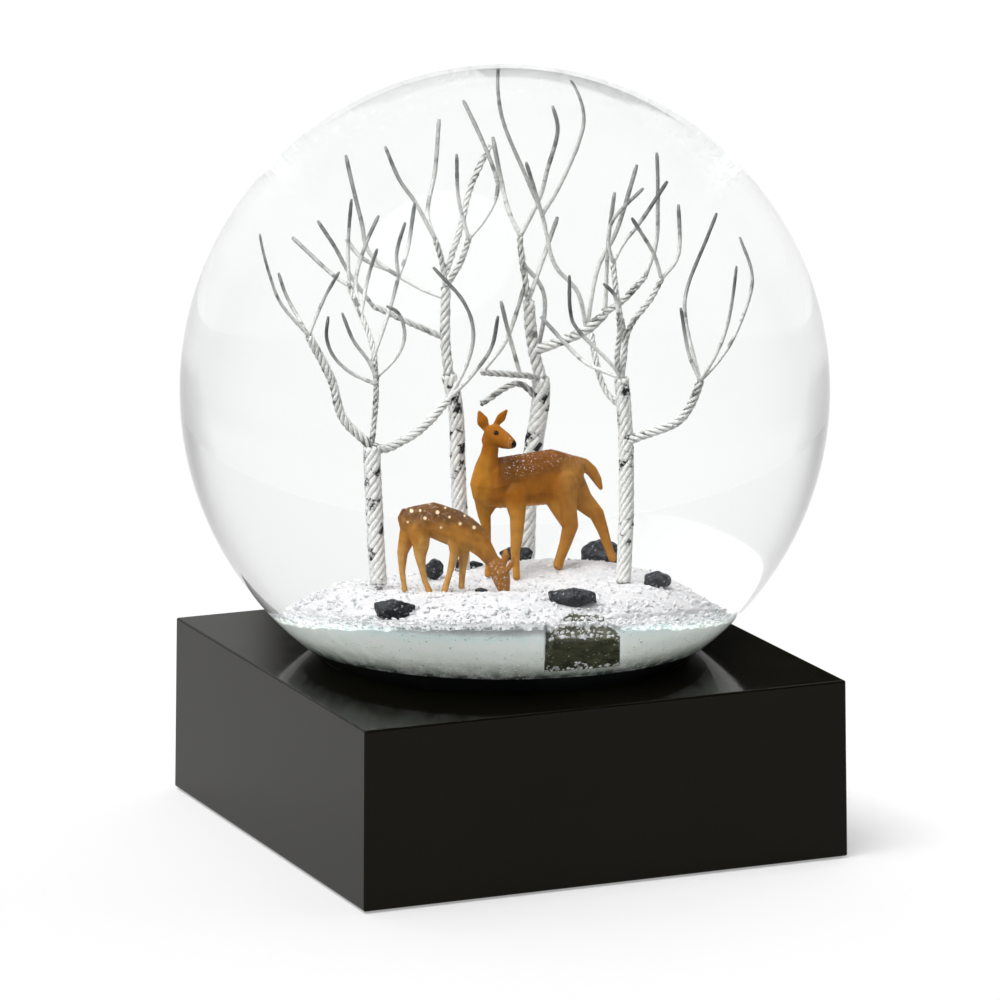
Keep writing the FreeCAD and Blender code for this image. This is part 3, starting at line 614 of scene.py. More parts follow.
def lumps(spots, seed):
    """Points, faces and a tone per point for a lump at each spot (x, y, z, size)."""
    rng = random.Random(seed)
    shapes = flake_shapes(rng)
    points, faces, tones = [], [], []
    total = 0
    for x, y, z, size in spots:
        corners, sides = rng.choice(shapes)
        angle = rng.uniform(0, 6.28)
        axis = Vector([rng.gauss(0, 1) for _ in range(3)]).normalized()
        turn = Matrix.Rotation(angle, 3, axis)
        spun = corners @ np.array(turn).T * (size / 2) + np.array((x, y, z))
        points.append(spun)
        faces += [[c + total for c in side] for side in sides]
        tones += [rng.random()] * len(corners)
        total += len(corners)
    return np.concatenate(points), faces, tones


def scatter(name, spots, replaces, seed):
    points, faces, tones = lumps(spots, seed)
    make_piece(name, points, faces, "loose_snow", replaces, {"tone": tones}, smooth=False)


def make_ground_snow():
    rng = random.Random(7)
    spots = []
    while len(spots) < 6800:
        radius = 43.0 * sqrt(rng.random())
        turn = rng.uniform(0, 2 * pi)
        x, y = radius * cos(turn), radius * sin(turn)
        near_rim = min(1.0, max(0.0, (radius - 18) / 10))
        if rng.random() > 0.35 + 0.65 * near_rim:
            continue
        size = rng.uniform(0.28, 0.6) + 1.0 * near_rim * rng.random() ** 3
        level = ground(x, y) if radius < 30.0 else trough(x, y)
        if hypot(radius, BALL_Z - level) > INNER_RADIUS - size:
            continue
        spots.append((x, y, level + rng.uniform(-0.08, 0.15) * (1 + near_rim), size))
    scatter("ground_snow", spots, ["loose_snow"], 11)


# ---- rocks ----
def shaped_copy(node, voxel, rounds, size, roughness, seed):
    """A CAD stone's shape as fine mesh: remeshed, softened, then chipped with noise. Metres."""
    work = added("work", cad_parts[node].data.copy())
    work.data.transform(Matrix.Scale(1 / MM, 4))
    remeshed(work, voxel)
    soft = work.modifiers.new("soft", "SMOOTH")
    soft.iterations = rounds
    soft.factor = 0.5
    mesh, points, faces = taken_mesh(work)
    normals = np.array([v.normal[:] for v in mesh.vertices])
    lift = grain(points, size, (seed, 0, 0)) + 0.5 * grain(points, size / 2.3, (0, seed, 0))
    points = points + normals * (lift * roughness)[:, None]
    return points * MM, faces


ROCK_NODES = ("rock_front_left", "rock_front_right", "rock_right", "rock_behind_doe", "rock_behind_fawn",
              "rock_by_tree", "pebble_front", "pebble_middle")


def make_rocks():
    for number, node in enumerate(ROCK_NODES):
        points, faces = shaped_copy(node, 0.16, 16, 1.3, 0.3, number * 3.1)
        make_piece(node + "_stone", points, faces, "dark_stone", [node], in_row_frame=True)


def make_boulder():
    """The flat-faced boulder, with clumps of snow dropped on to its sloping top."""
    points, faces = shaped_copy("boulder", 0.2, 3, 1.6, 0.25, 2.0)
    make_piece("boulder_stone_block", points, faces, "boulder_stone", ["boulder"], in_row_frame=True)
    surface = BVHTree.FromPolygons([Vector(p) for p in points], faces)
    rng = random.Random(21)
    spots = []
    while len(spots) < 210:
        x, y = rng.uniform(6.0, 21.0), rng.uniform(-41.0, -28.5)
        start = Vector(placed([(x, y, 60.0)])[0])
        found = surface.ray_cast(start, Vector((0, 0, -1)))[0]
        thin = 0.35 if x > 16 else 1.0
        if found is not None and rng.random() < thin:
            spots.append((x, y, found.z / MM + rng.uniform(0.0, 0.3), rng.uniform(0.4, 1.15)))
    while len(spots) < 260:
        x, z = rng.uniform(6.8, 20.4), 39.9 + abs(rng.gauss(0, 0.5))
        glass = sqrt(INNER_RADIUS ** 2 - (BALL_Z - z) ** 2 - x ** 2)
        spots.append((x, 0.8 - glass, z, rng.uniform(0.4, 1.0)))
    scatter("boulder_snow_clumps", spots, ["boulder_snow"], 5)


# ---- trees ----
LIMB = 0.7
BOUGH = 0.45
TWIG = 0.25
TWIG_WIRE, TWIG_TIP = 0.29, 0.2     # a twig is one wire, painted, that narrows at its end

# Each tree's branches as radius, then points in the scene's axes. A number in the first point's place
# means the end of the branch with that number, where the trunk is branch 0.
TREES = {
"tree_left": [
    (1.25, (-18.5, -12, 56), (-19, -12, 66.5), (-19.5, -12, 76.5)),
    (LIMB, 0, (-24, -13, 81), (-26, -14, 87), (-30, -15, 94)),
    (TWIG, 1, (-35.5, -17, 100), (-38.5, -18, 105.5), (-42.6, -19, 114)),
    (TWIG, 1, (-33.5, -12, 99.5), (-35, -10, 103)),
    (TWIG, 1, (-28, -16, 100), (-26, -18, 105)),
    (BOUGH, 0, (-19, -12, 82), (-19, -13, 87)),
    (TWIG, (-19, -13, 86), (-23, -14, 88), (-26, -16, 91), (-27.5, -18, 94.5), (-27.5, -19, 98)),
    (TWIG, 5, (-20.5, -14, 90), (-23, -16, 93.5), (-25, -17, 98)),
    (TWIG, 5, (-16, -14, 90.5), (-15, -15, 94), (-16, -16, 97.5), (-18, -17, 99)),
    (LIMB, 0, (-17, -10, 76), (-12, -8, 78.5), (-8, -4, 82)),
    (TWIG, 9, (-5.5, -5, 87), (-4.5, -6, 92), (-6, -7, 97), (-10.5, -8, 102.5)),
    (TWIG, 9, (-5, -6, 85.5), (-2, -7, 90), (-1, -10, 95.5)),
    (BOUGH, (-19, -13, 86), (-19.5, -10, 91.5), (-22.5, -4, 98.5)),
    (TWIG, 12, (-23, -4, 105), (-23, -4, 112.5)),
    (TWIG, (-21, -7, 95), (-21.5, -3, 99), (-20, 0, 103.5), (-18, 2, 107.5)),
    (TWIG, (-21, -7, 95), (-20, -6, 100.5), (-19, -8, 105.5)),
    (TWIG, (-19.5, -11, 89), (-17, -10, 96.5), (-15.5, -6, 100.5)),
    (TWIG, 16, (-16, -8, 105), (-15, -9, 110)),
    (TWIG, 16, (-14, -3, 104), (-13, 0, 110)),
],
"tree_back_left": [
    (1, (-5.5, 8, 57), (-6, 8, 66), (-6.5, 8, 78), (-7.5, 8, 83)),
    (LIMB, 0, (-8, 8, 88), (-8, 8, 95)),
    (BOUGH, 1, (-8.5, 8, 98.5), (-9.5, 7.5, 102)),
    (TWIG, 2, (-12.5, 6, 108), (-15, 5, 112), (-17.5, 4, 118)),
    (TWIG, 2, (-10.5, 10, 105), (-9.5, 11, 111), (-9, 14, 117.5)),
    (BOUGH, 1, (-6, 7, 99), (-5, 6, 102.5)),
    (TWIG, 5, (-6.5, 5, 109), (-7, 2, 117)),
    (TWIG, 5, (-2.5, 7, 105.5), (-1, 8, 109), (-2, 8, 113.5), (-6, 10, 123)),
    (BOUGH, (-8, 8, 97), (-6, 12, 102), (-4.5, 15, 107), (-2, 18, 111.5)),
    (BOUGH, (-8, 8, 88), (-12, 7, 90), (-18, 6, 93)),
    (TWIG, 9, (-21.5, 4, 98), (-24, 3, 102.5), (-27, 2, 107)),
    (TWIG, (-20, 5, 95.5), (-23.5, 5, 97.5), (-29.5, 8, 102.5)),
    (TWIG, (-8, 8, 93.5), (-12, 9, 95), (-18, 10, 99), (-19.5, 11, 104), (-22, 12, 113.2)),
    (TWIG, (-15.5, 9.5, 97), (-19, 12, 98), (-21, 14, 100)),
],
"tree_back_right": [
    (1.15, (2.5, 20, 57), (3, 20, 67), (4.5, 20, 77), (4.5, 20, 80)),
    (0.8, 0, (3.5, 20, 84.5), (3, 20, 90)),
    (BOUGH, 1, (2, 20, 97), (2, 20, 98.5)),
    (TWIG, 2, (0.5, 21, 101.5), (-0.5, 23, 105), (-1.5, 24, 110)),
    (TWIG, 2, (4.5, 19, 104), (5.5, 18, 108), (7, 17, 114), (6.5, 16, 118.5)),
    (TWIG, (2.2, 20, 95), (4.5, 22, 91.5), (5, 23, 88), (4, 21, 82.5)),
    (TWIG, 1, (4.5, 22, 94), (6.5, 26, 99)),
    (LIMB, (3.7, 20, 83.5), (7, 19, 85), (10.5, 17, 87), (13, 16, 89.5)),
    (BOUGH, 7, (15.5, 15, 91.5), (18.5, 14, 95)),
    (TWIG, 8, (20, 14, 99.5), (20.5, 13, 105), (21, 12, 113.5)),
    (TWIG, (10.5, 17, 87), (12, 17, 95), (14.5, 18, 100), (17, 20, 108)),
    (TWIG, 7, (13.5, 14, 97.5), (14, 12, 102), (15, 10, 108)),
    (TWIG, (10.5, 17, 87), (9.5, 15, 92.5), (6.5, 13, 97), (5, 12, 104), (3, 10, 110), (0, 8, 119),
     (-1, 7.5, 126), (-1.1, 7, 135.6)),
    (TWIG, (5, 12, 104), (7.5, 10, 109), (10.5, 7, 117), (11.6, 6, 123), (10.7, 4.5, 133.2)),
    (TWIG, (5, 12, 104), (4, 9, 109), (3, 6, 114)),
    (BOUGH, 0, (2, 17, 81), (-3, 14, 82)),
    (TWIG, (2, 17, 81), (0.5, 15, 87), (-0.5, 12, 92)),
    (TWIG, 15, (0, 16, 85.5), (1.5, 18, 89), (2.5, 20, 92)),
    (BOUGH, (4.5, 20, 77), (1.5, 19, 79.5), (-3, 16, 77.5)),
],
"tree_right": [
    (1.05, (16.5, -4, 56), (17, -4, 66.5), (17, -4, 77), (16.5, -4, 85)),
    (TWIG, 0, (15, -5, 87.5), (10.5, -6, 92.5), (9.5, -8, 96), (9.5, -9, 101.5)),
    (TWIG, 0, (13.5, -3, 86), (10.5, -2, 87.5), (5, 0, 93)),
    (BOUGH, 0, (16, -5, 88), (16.5, -6, 92), (16.5, -7, 95)),
    (TWIG, 3, (16, -7, 98), (14.5, -8, 100)),
    (BOUGH, 0, (17, -3, 90), (16, -3, 96.5), (15.5, -2, 101.5)),
    (TWIG, 5, (15, -3, 105), (16, -4, 109), (21, -6, 115)),
    (TWIG, 5, (17, 0, 104), (19.5, 1, 107), (23.5, 4, 112.5)),
    (BOUGH, 0, (17.5, -2, 91.5), (20.5, 0, 95.5), (22, 2, 98)),
    (TWIG, 8, (21.5, 1, 101), (21, -1, 103.5), (18.5, -2, 108.5)),
    (TWIG, 8, (24.5, 3, 101.5), (24.5, 6, 108)),
    (LIMB, (17, -4, 76), (19.5, -5, 77), (24.5, -6, 79), (27, -7, 82), (28.5, -8, 85.5)),
    (TWIG, 11, (27, -9, 90), (26.5, -12, 97.5)),
    (TWIG, 11, (26.5, -7, 94.5), (27, -6, 99.5), (30.5, -5, 107), (32.5, -4, 111)),
    (TWIG, 11, (31.5, -10, 90), (34, -11, 95.5), (37, -14, 105.5)),
    (TWIG, 11, (31.5, -7, 88.5), (34.5, -6, 93), (37, -3, 100), (35.5, -2, 106.5)),
    (BOUGH, (16.8, -4, 80.5), (14, -2, 83), (12.5, 0, 87.5), (12, 2, 90)),
],
}


def smooth_path(points, step):
    """Points about every step millimetres on a Catmull-Rom curve through points."""
    points = [np.array(p, float) for p in points]
    points = [2 * points[0] - points[1]] + points + [2 * points[-1] - points[-2]]
    path = []
    for p0, p1, p2, p3 in zip(points, points[1:], points[2:], points[3:]):
        count = max(2, int(np.linalg.norm(p2 - p1) / step))
        for number in range(count):
            t = number / count
            path.append(0.5 * (2 * p1 + (p2 - p0) * t + (2 * p0 - 5 * p1 + 4 * p2 - p3) * t * t
                               + (3 * p1 - p0 - 3 * p2 + p3) * t ** 3))
    path.append(points[-2])
    return np.array(path)


def frames(path):
    """Two unit vectors across the path at each of its points, carried along without twisting."""
    runs = np.gradient(path, axis=0)
    runs /= np.linalg.norm(runs, axis=1)[:, None]
    start = np.array((0.31, 0.87, 0.38))
    across = np.empty_like(path)
    for number, run in enumerate(runs):
        start = start - run * (start @ run)
        start = start / np.linalg.norm(start)
        across[number] = start
    return across, np.cross(runs, across)


class Wires:
    """Collects tubes into one mesh, with the numbers that the wire material reads."""

    def __init__(self):
        self.points, self.faces = [], []
        self.values = {key: [] for key in ("strand", "along", "bare", "wear_and_shade", "depth")}

    def tube(self, path, radii, sides, strand, along, bare, wear_and_shade, middle=None, reach=1.0):
        """One strand. Middle is the bundle's own line and reach its radius: depth is how far in from it."""
        across, side = frames(path)
        start = len(self.points)
        for number, (centre, a, b, radius) in enumerate(zip(path, across, side, radii)):
            for x, y in circle(sides):
                spot = centre + radius * (x * a + y * b)
                self.points.append(spot)
                depth = 0.0
                if middle is not None:
                    depth = 1 - (np.linalg.norm(spot - middle[number]) / reach - 0.45) / 0.5
                here = (strand, along[number], bare[number], wear_and_shade, depth)
                for key, value in zip(self.values, here):
                    self.values[key].append(value)
        for low in range(start, start + (len(path) - 1) * sides, sides):
            self.faces += quads(low, low + sides, sides)
        self.faces.append(tuple(range(start, start + sides))[::-1])
        self.faces.append(tuple(range(len(self.points) - sides, len(self.points))))


# branch radius at least: strands, strand radius, twist pitch, core radius (all as shares of the
# branch's radius, but the pitch, which is in millimetres)
BUNDLES = ((0.95, 7, 0.4, 9.0, 0.6), (0.6, 4, 0.46, 4.6, 0.4), (0.4, 3, 0.52, 3.2, 0.0))


def rough_radii(lengths, radius, rng):
    """Radii along a strand whose paint lies unevenly."""
    start = rng.uniform(0, 100)
    bumps = [noise.noise(Vector((start, length * 1.3, 0.0))) for length in lengths]
    return radius * (1 + 0.16 * np.array(bumps))


def make_tree(name, branches, rng, bareness):
    wires = Wires()
    ends = []
    for radius, origin, *points in branches:
        points = [ends[origin] if isinstance(origin, int) else origin] + points
        ends.append(points[-1])
        path = smooth_path(points, 0.8 if radius == TWIG else 0.45)
        lengths = np.concatenate([[0.0], np.cumsum(np.linalg.norm(np.diff(path, axis=0), axis=1))])
        share = lengths / lengths[-1]
        if radius == TWIG:
            low, high = rng.uniform(0.15, 0.4), rng.uniform(0.7, 1.0) * bareness
            bare = np.clip((share - low) / 0.5, 0, 1) ** 1.3 * high
            radii = rough_radii(lengths, TWIG_WIRE, rng)
            radii[-1] = TWIG_TIP
            wires.tube(path, radii, 8, rng.uniform(0, 50), lengths, bare, 0.6)
            continue
        count, strand_share, pitch, core = next(row[1:] for row in BUNDLES if radius >= row[0])
        across, side = frames(path)
        # how strongly the worn streaks and the painted groove shade show on this branch
        wear_and_shade = 1.0 if radius > 0.9 else 0.7
        offset = radius * (1 - strand_share) * 1.08
        start = rng.uniform(0, 6.28)
        for strand in range(count):
            swirl = start + 2 * pi * (strand / count + lengths / pitch)
            line = path + offset * (np.cos(swirl)[:, None] * across + np.sin(swirl)[:, None] * side)
            thick = rough_radii(lengths, radius * strand_share * rng.uniform(0.9, 1.08), rng)
            bare = np.full(len(path), 0.15 if radius < 0.6 else 0.0)
            wires.tube(line, thick, 8, rng.uniform(0, 50), lengths, bare, wear_and_shade, path, radius)
        if core:
            wires.tube(path, np.full(len(path), core * radius), 10, rng.uniform(0, 50), lengths,
                       np.zeros(len(path)), 0.5, path, radius)
    make_piece(name + "_wires", np.array(wires.points), wires.faces, "painted_wire", [name], wires.values)


def make_trees():
    rng = random.Random(3)
    for (name, branches), bareness in zip(TREES.items(), (1.0, 0.75, 0.8, 1.0)):
        make_tree(name, branches, rng, bareness)


# ---- deer ----
def blob_mesh(chains, lateral, voxel):
    """Points (millimetres) and faces of one skin over chains of balls. A chain is its width, which thins
    the balls along the lateral direction, then (x, y, z, radius) of each ball."""
    work = bmesh.new()
    side = Vector((*lateral, 0.0)).normalized()
    turn = Matrix.Rotation(atan2(side.y, side.x), 4, "Z")
    for width, *balls in chains:
        for (x0, y0, z0, r0), (x1, y1, z1, r1) in zip(balls, balls[1:]):
            start, end = Vector((x0, y0, z0)), Vector((x1, y1, z1))
            count = max(2, int((end - start).length / (0.22 * min(r0, r1))) + 1)
            for number in range(count + 1):
                t = number / count
                radius = r0 + (r1 - r0) * t
                shape = Matrix.Translation(start.lerp(end, t)) @ turn @ Matrix.Diagonal((width, 1, 1, 1))
                bmesh.ops.create_icosphere(work, subdivisions=2, radius=radius, matrix=shape)
    mesh = bpy.data.meshes.new("blob")
    work.to_mesh(mesh)
    work.free()
    holder = added("blob", mesh)
    remeshed(holder, voxel)
    mesh, points, faces = taken_mesh(holder)
    edges = np.array([e.vertices[:] for e in mesh.edges])
    degree = np.bincount(edges.ravel(), minlength=len(points))[:, None]
    for pull in [0.6, -0.62] * 10:
        total = np.zeros_like(points)
        np.add.at(total, edges[:, 0], points[edges[:, 1]])
        np.add.at(total, edges[:, 1], points[edges[:, 0]])
        points = points + pull * (total / degree - points)
    return points, faces


DOE_ACROSS = (-0.475, 0.88)     # the way that its body is thinned
# each part of the body as its width, then balls (x, y, z, radius) that it runs through
DOE = [
    (0.74, (-2.3, -1.9, 69, 2.6), (-0.6, -0.9, 69.6, 3.5), (2.6, 0.8, 69.8, 3.7), (5.8, 2.6, 69.9, 3.75),
     (7.6, 3.6, 70, 3.1)),
    (0.8, (-0.8, -1, 70.2, 3.1), (6.2, 2.8, 70.6, 3.2), (8.2, 3.9, 70.3, 2.7)),
    (0.8, (-2.4, -1.9, 69.6, 2.6), (-2.5, -2.1, 71.6, 1.9), (-2.2, -2.4, 73.6, 1.35),
     (-1.9, -2.5, 75.4, 1.2)),
    (0.8, (-2, -2.5, 75.9, 1.35), (-1.5, -2.7, 76.7, 1.55), (-0.3, -3.1, 76.1, 1.3),
     (0.65, -3.4, 75.65, 0.9), (1.1, -3.6, 75.5, 0.6)),
    (0.85, (1.4, -1.9, 68.4, 1.9), (1.75, -2.2, 65.2, 1.15), (1.62, -2.3, 62.2, 0.92),
     (1.42, -2.4, 60, 0.66), (1.55, -2.4, 58, 0.56), (1.62, -2.5, 56.8, 0.58)),
    (0.85, (-2.4, -1, 68, 2.1), (-2.85, -0.7, 65.4, 1), (-2.35, -0.4, 62.6, 0.5),
     (-2.2, -0.2, 59.8, 0.42), (-2.3, -0.2, 57, 0.5)),
    (0.8, (7.2, 2.4, 69, 2.9), (8, 2.3, 65.9, 1.85), (8.85, 2.6, 63.4, 1.15), (8.1, 2.5, 60.8, 0.86),
     (7.4, 2.4, 58.9, 0.72), (7.2, 2.3, 58.1, 0.75)),
    (0.8, (8.4, 5, 69, 2.4), (10.3, 5.6, 66.4, 1.5), (12.2, 6, 64.5, 1.05), (12.95, 6, 62.5, 0.8),
     (13.7, 6, 60, 0.6), (14.2, 6, 58.7, 0.6)),
    (0.8, (9.3, 4.8, 71.5, 1.1), (10.6, 5.5, 71.2, 0.9), (11.6, 5.9, 70.3, 0.8), (12.3, 6.1, 69.1, 0.65),
     (12.75, 6.1, 68, 0.32)),
    (0.55, (-2.5, -2.6, 77.4, 0.5), (-3.1, -2.6, 78.6, 0.9), (-3.55, -2.6, 79.8, 0.32)),
    (0.55, (-1.3, -2.2, 78, 0.42), (-0.5, -2, 79, 0.7), (0.2, -1.8, 79.9, 0.28)),
]
FAWN_ACROSS = (0.0, 1.0)
FAWN = [
    (0.78, (-13.3, -18, 66.2, 2.4), (-10.6, -18, 66.4, 2.75), (-8, -18, 65.4, 2.85),
     (-6.2, -18, 64.5, 2.7), (-4.3, -18, 63.6, 2.1)),
    (0.8, (-4.6, -18, 63.8, 2.1), (-3.1, -18, 62, 1.5), (-2.15, -18, 60.6, 1.2)),
    (0.85, (-1.5, -18, 59.8, 1.25), (-0.75, -18.1, 58.4, 1.5), (-0.4, -18.2, 57, 1.25),
     (-0.1, -18.3, 55.7, 0.85), (0, -18.4, 55.1, 0.62)),
    (0.85, (-14, -17.3, 65.4, 1.6), (-15.25, -17.1, 61.3, 0.85), (-15.35, -17.1, 58.3, 0.5),
     (-15.1, -17.1, 56.4, 0.42), (-15, -17.1, 55.5, 0.5)),
    (0.85, (-12.9, -18.8, 65.2, 1.9), (-12.6, -18.9, 62.6, 1.3), (-12.7, -18.9, 61, 0.92),
     (-12.5, -18.9, 59.3, 0.6), (-12, -18.9, 56.9, 0.46), (-11.4, -18.9, 55.5, 0.52)),
    (0.85, (-7.3, -18.8, 64, 1.5), (-7.5, -18.9, 61.6, 0.76), (-7.9, -18.9, 59.8, 0.58),
     (-8.3, -18.9, 58.2, 0.46), (-9.1, -18.9, 55.5, 0.52)),
    (0.85, (-6.3, -17.2, 64, 1.5), (-6.05, -17.1, 61.2, 0.8), (-6.3, -17.1, 58.2, 0.5),
     (-6.45, -17.1, 56.2, 0.48)),
    (0.8, (-15, -17.9, 67.6, 0.55), (-15.55, -17.8, 66.6, 0.5), (-15.5, -17.8, 65.3, 0.25)),
    (0.6, (-0.2, -17.6, 59.6, 0.45), (0.1, -17.3, 60.8, 0.6), (0.1, -17.2, 61.9, 0.2)),
    (0.6, (0.5, -18.9, 59, 0.4), (1, -19.1, 59.9, 0.45), (1.3, -19.2, 60.8, 0.18)),
]
# the fawn's white spots, as (x, z, radius)
FAWN_SPOTS = [(-12.6, 69.1, 0.245), (-14.0, 67.9, 0.27), (-12.7, 68.0, 0.175), (-10.1, 67.8, 0.285),
              (-12.0, 66.9, 0.26), (-8.3, 67.1, 0.19), (-6.7, 66.1, 0.245), (-9.6, 65.5, 0.19),
              (-4.6, 65.5, 0.27), (-14.6, 66.2, 0.165), (-11.3, 69.0, 0.165), (-6.0, 67.2, 0.165),
              (-8.9, 68.4, 0.15)]


def near(points, centre, radius, soft=0.12):
    return 1 - smoothstep(radius, radius + soft, np.linalg.norm(points - np.array(centre), axis=1))


def make_deer(kind, shape, base, washes, marks, dust):
    """A painted figure. Washes and marks are (share at each point, colour), laid over the base colour in
    turn; the marks stay unbroken by the coat's own noise."""
    points, faces = shape
    coat = np.tile(np.array(base), (len(points), 1))
    for share, colour in washes + marks:
        coat = coat * (1 - share[:, None]) + np.array(colour) * share[:, None]
    keep = np.max([share for share, _ in marks], axis=0)
    make_piece(kind + "_figure", points, faces, kind + "_coat", [kind],
               {"coat": np.column_stack([coat, np.ones(len(coat))]), "keep": keep, "dust": dust})


def make_doe():
    shape = blob_mesh(DOE, DOE_ACROSS, 0.13)
    points = shape[0]
    x, _, z = points.T
    wobble = grain(points, 1 / 0.7) * 0.9
    back = smoothstep(68.0, 73.0, z + wobble) * (x > -0.9) * (z < 74.6)
    shoulder = smoothstep(2.6, 0.8, np.hypot(x - 0.6, z - 70.5))
    belly = smoothstep(67.6, 66.2, z) * (x > -1.0) * (x < 7.5)
    legs = smoothstep(66.5, 62.0, z)
    rump = smoothstep(6.8, 8.6, x) * smoothstep(73.5, 71.0, z) * smoothstep(63.0, 66.0, z)
    chest = smoothstep(-1.2, -2.6, x) * smoothstep(75.0, 72.5, z)
    washes = [(back * 0.85, (0.155, 0.055, 0.01)), (shoulder * 0.55, (0.12, 0.04, 0.005)),
              (belly * 0.45, (0.6, 0.3, 0.05)), (legs * 0.45, (0.5, 0.26, 0.06)),
              (rump * 0.55, (0.55, 0.27, 0.06)), (chest * 0.45, (0.52, 0.25, 0.03))]
    nose, eye = near(points, (1.5, -3.8, 75.5), 0.6), near(points, (-1.2, -3.85, 77.15), 0.32)
    marks = [(share, (0.012, 0.009, 0.007)) for share in (nose, eye)]
    dust = 0.9 * smoothstep(70.0, 72.0, z) * smoothstep(74.0, 73.4, z)
    dust *= smoothstep(-0.6, 0.4, x) * smoothstep(5.5, 3.0, x)
    dust = np.maximum(dust, 0.35 * smoothstep(70.5, 73.0, z) * (x > 0))
    make_deer("doe", shape, (0.36, 0.125, 0.008), washes, marks, dust)


def make_fawn():
    shape = blob_mesh(FAWN, FAWN_ACROSS, 0.11)
    points = shape[0]
    x, y, z = points.T
    wobble = grain(points, 1 / 0.8) * 0.8
    back = smoothstep(64.3, 67.6, z + wobble + 0.28 * np.clip(x + 8.0, 0, 6))
    head = smoothstep(62.5, 60.5, z) * (x > -3.0)
    belly = smoothstep(64.4, 63.4, z) * (z > 62.2) * (x < -8.2) * (x > -13)
    legs = smoothstep(63.6, 60.5, z) * (x < -4.5)
    washes = [(back * 0.95, (0.125, 0.056, 0.018)), (head * 0.55, (0.24, 0.1, 0.025)),
              (belly * 0.5, (0.62, 0.36, 0.1)), (legs * 0.6, (0.6, 0.36, 0.12))]
    marks = []
    for spot_x, spot_z, radius in FAWN_SPOTS:
        spot = 1 - smoothstep(radius - 0.06, radius + 0.06, np.hypot(x - spot_x, z - spot_z))
        marks.append((spot * (y < -18.2), (0.78, 0.64, 0.42)))
    eye, nose = near(points, (0.75, -19.35, 57.4), 0.28), near(points, (0.0, -18.7, 54.4), 0.42)
    marks += [(share, (0.015, 0.011, 0.009)) for share in (eye, nose)]
    dust = 0.3 * smoothstep(65.0, 67.5, z) + 0.6 * smoothstep(61.0, 59.5, z) * (x > -2.5)
    make_deer("fawn", shape, (0.44, 0.19, 0.03), washes, marks, dust)


# ---- carried-over CAD nodes ----
def finish_cad_nodes():
    carried = {"base_shell": "base_black", "base_plate": "plate_black", "foot_pad": "pad_felt",
               "cover_screws": "screw_steel", "neck_stopper": "stopper_rubber",
               "sealant_bead": "clear_silicone", "seat_adhesive": "clear_silicone"}
    for node, slot in carried.items():
        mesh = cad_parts[node].data
        mesh.materials.clear()
        mesh.materials.append(MATERIALS[slot])


# ---- stage, light and camera ----
CAMERA_YAW = radians(23.28)
CAMERA_RIGHT = Vector((cos(CAMERA_YAW), -sin(CAMERA_YAW), 0.0))
CAMERA_PITCH = radians(12.4)
CAMERA_DISTANCE = 1260.7
CAMERA_AIM_Z = 61.74
CAMERA_SIDE_STEP = -0.89
CAMERA_LENS = 245.2
CARD_EDGE = -0.037          # sine of the angle, right of ahead, at which the backdrop's card turns black


def make_floor():
    """White paper lit a little from below; it greys towards the sides, beyond the picture."""
    mesh = bpy.data.meshes.new("floor")
    reach = 30.0
    corners = [(-reach, -reach, 0), (reach, -reach, 0), (reach, reach, 0), (-reach, reach, 0)]
    mesh.from_pydata(corners, [], [(0, 1, 2, 3)])
    p = Paint("floor_paper", specular=0.0, Emission_Strength=0.35)
    white = p.ramp(p.noise(400.0), [(0.3, 0.985), (0.7, 1.0)])
    bearing = p.vector("NORMALIZE", p.where)["Vector"]
    aside = p.vector("DOT_PRODUCT", bearing, CAMERA_RIGHT)["Value"]
    sideways = p.ramp(p.math("ABSOLUTE", aside), [(0.62, 0.0), (0.88, 1.0)])
    far = p.ramp(p.vector("LENGTH", p.where)["Value"], [(0.36, 0.0), (0.5, 0.55)])
    shade = p.mix(p.times(sideways, far), white, (0.0, 0.0, 0.0))
    p.set("Base Color", p.mix(1.0, shade, (0.62, 0.62, 0.62), "MULTIPLY"))
    p.set("Emission Color", shade)
    p.rough(50.0, 0.9, 1.0)
    mesh.materials.append(MATERIALS["floor_paper"])
    floor = added("floor", mesh)


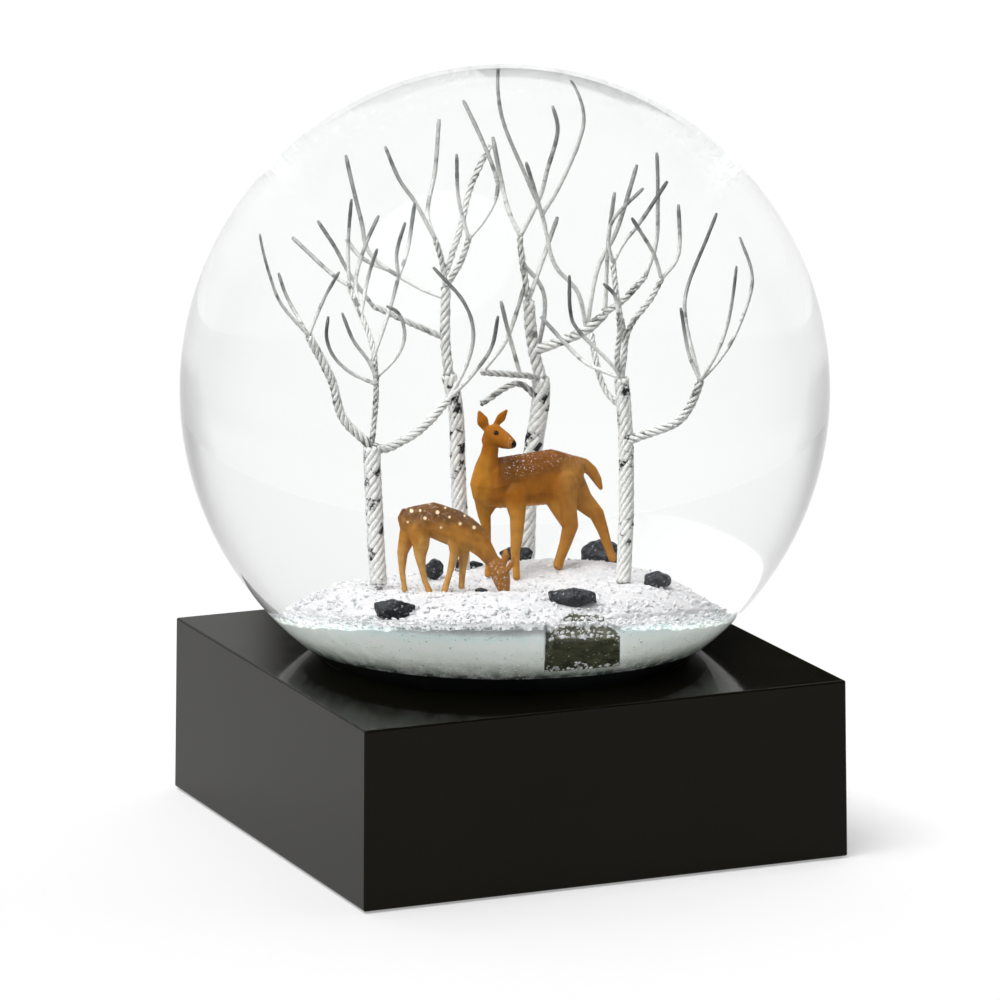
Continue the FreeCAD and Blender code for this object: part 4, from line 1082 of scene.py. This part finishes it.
def make_world():
    """A studio that is white beyond the globe and dark on the camera's side. A grey flag stands at each
    side. Just above the horizon is a grey and black card that the base's top mirrors."""
    world = bpy.context.scene.world = bpy.data.worlds.new("studio")
    world.use_nodes = True
    n = Nodes(world.node_tree, "Generated")

    def along(yaw, pitch=0.0):
        """How far a direction points towards yaw (clockwise from ahead) and pitch, as a dot product."""
        turn, tilt = CAMERA_YAW + radians(yaw), radians(pitch)
        way = (sin(turn) * cos(tilt), cos(turn) * cos(tilt), sin(tilt))
        return n.vector("DOT_PRODUCT", n.where, way)["Value"]

    def slope(value, low, high, start=0.0, end=1.0):
        """Start where the value is below low, end where it is above high, and smooth between."""
        node = n.add("ShaderNodeMapRange", Value=value, From_Min=low, From_Max=high, To_Min=start,
                     To_Max=end)
        node.interpolation_type = "SMOOTHSTEP"
        return node.outputs["Result"]

    forward, right, up = along(0.0), along(90.0), along(0.0, 90.0)
    aside = n.math("ABSOLUTE", right)
    level = n.math("ADD", slope(forward, -0.15, 0.1, 0.08, 0.8), slope(forward, 0.6, 0.8, 0.0, 0.2))
    flags = n.times(slope(aside, 0.72, 0.86, 0.0, 0.5), slope(n.math("ABSOLUTE", up), 0.3, 0.5, 1.0, 0.0))
    card = n.times(slope(up, 0.14, 0.18), slope(up, 0.36, 0.44, 1.0, 0.0), slope(forward, 0.0, 0.5),
                   slope(aside, 0.2, 0.26, 1.0, 0.0), slope(right, CARD_EDGE, CARD_EDGE + 0.006, 0.4, 0.99))
    level = n.times(level, n.math("SUBTRACT", 1.0, flags), n.math("SUBTRACT", 1.0, card))
    n.feed(n.tree.nodes["Background"].inputs["Color"], level)


def make_lights():
    data = bpy.data.lights.new("soft_overhead", "SUN")
    data.energy = 2.5
    data.angle = radians(50)
    lamp = added("soft_overhead", data)
    lamp.rotation_euler = Vector((-0.6, -0.3, 1.0)).to_track_quat("Z", "Y").to_euler()


def make_camera():
    level = cos(CAMERA_PITCH)
    ahead = Vector((sin(CAMERA_YAW) * level, cos(CAMERA_YAW) * level, -sin(CAMERA_PITCH)))
    data = bpy.data.cameras.new("camera")
    data.lens = CAMERA_LENS
    data.sensor_width = 36.0
    data.clip_start = 0.05
    data.clip_end = 100.0
    camera = added("camera", data)
    place = Vector((0, 0, CAMERA_AIM_Z)) - ahead * CAMERA_DISTANCE + CAMERA_RIGHT * CAMERA_SIDE_STEP
    camera.location = place * MM
    camera.rotation_euler = ahead.to_track_quat("-Z", "Y").to_euler()
    bpy.context.scene.camera = camera


make_base_black()
make_hidden_materials()
make_glass("ball_glass", GLASS_IOR, GLASS_TINT, 0.15)
make_glass("ball_glass_inner", GLASS_IOR, GLASS_TINT, 0.0)
make_glass("clear_liquid", WATER_IOR, WATER_TINT, 0.0)
make_cast_snow()
make_settled_snow()
make_loose_snow()
make_painted_wire()
make_coat("doe_coat")
make_coat("fawn_coat")
make_boulder_stone()
make_dark_stone()

make_globe()
make_water()
make_landscape()
make_trough_snow()
make_ground_snow()
make_rocks()
make_boulder()
make_trees()
make_doe()
make_fawn()
finish_cad_nodes()
make_floor()
make_world()
make_lights()
make_camera()
bpy.context.scene.view_settings.view_transform = "Standard"

bpy.context.view_layer.update()
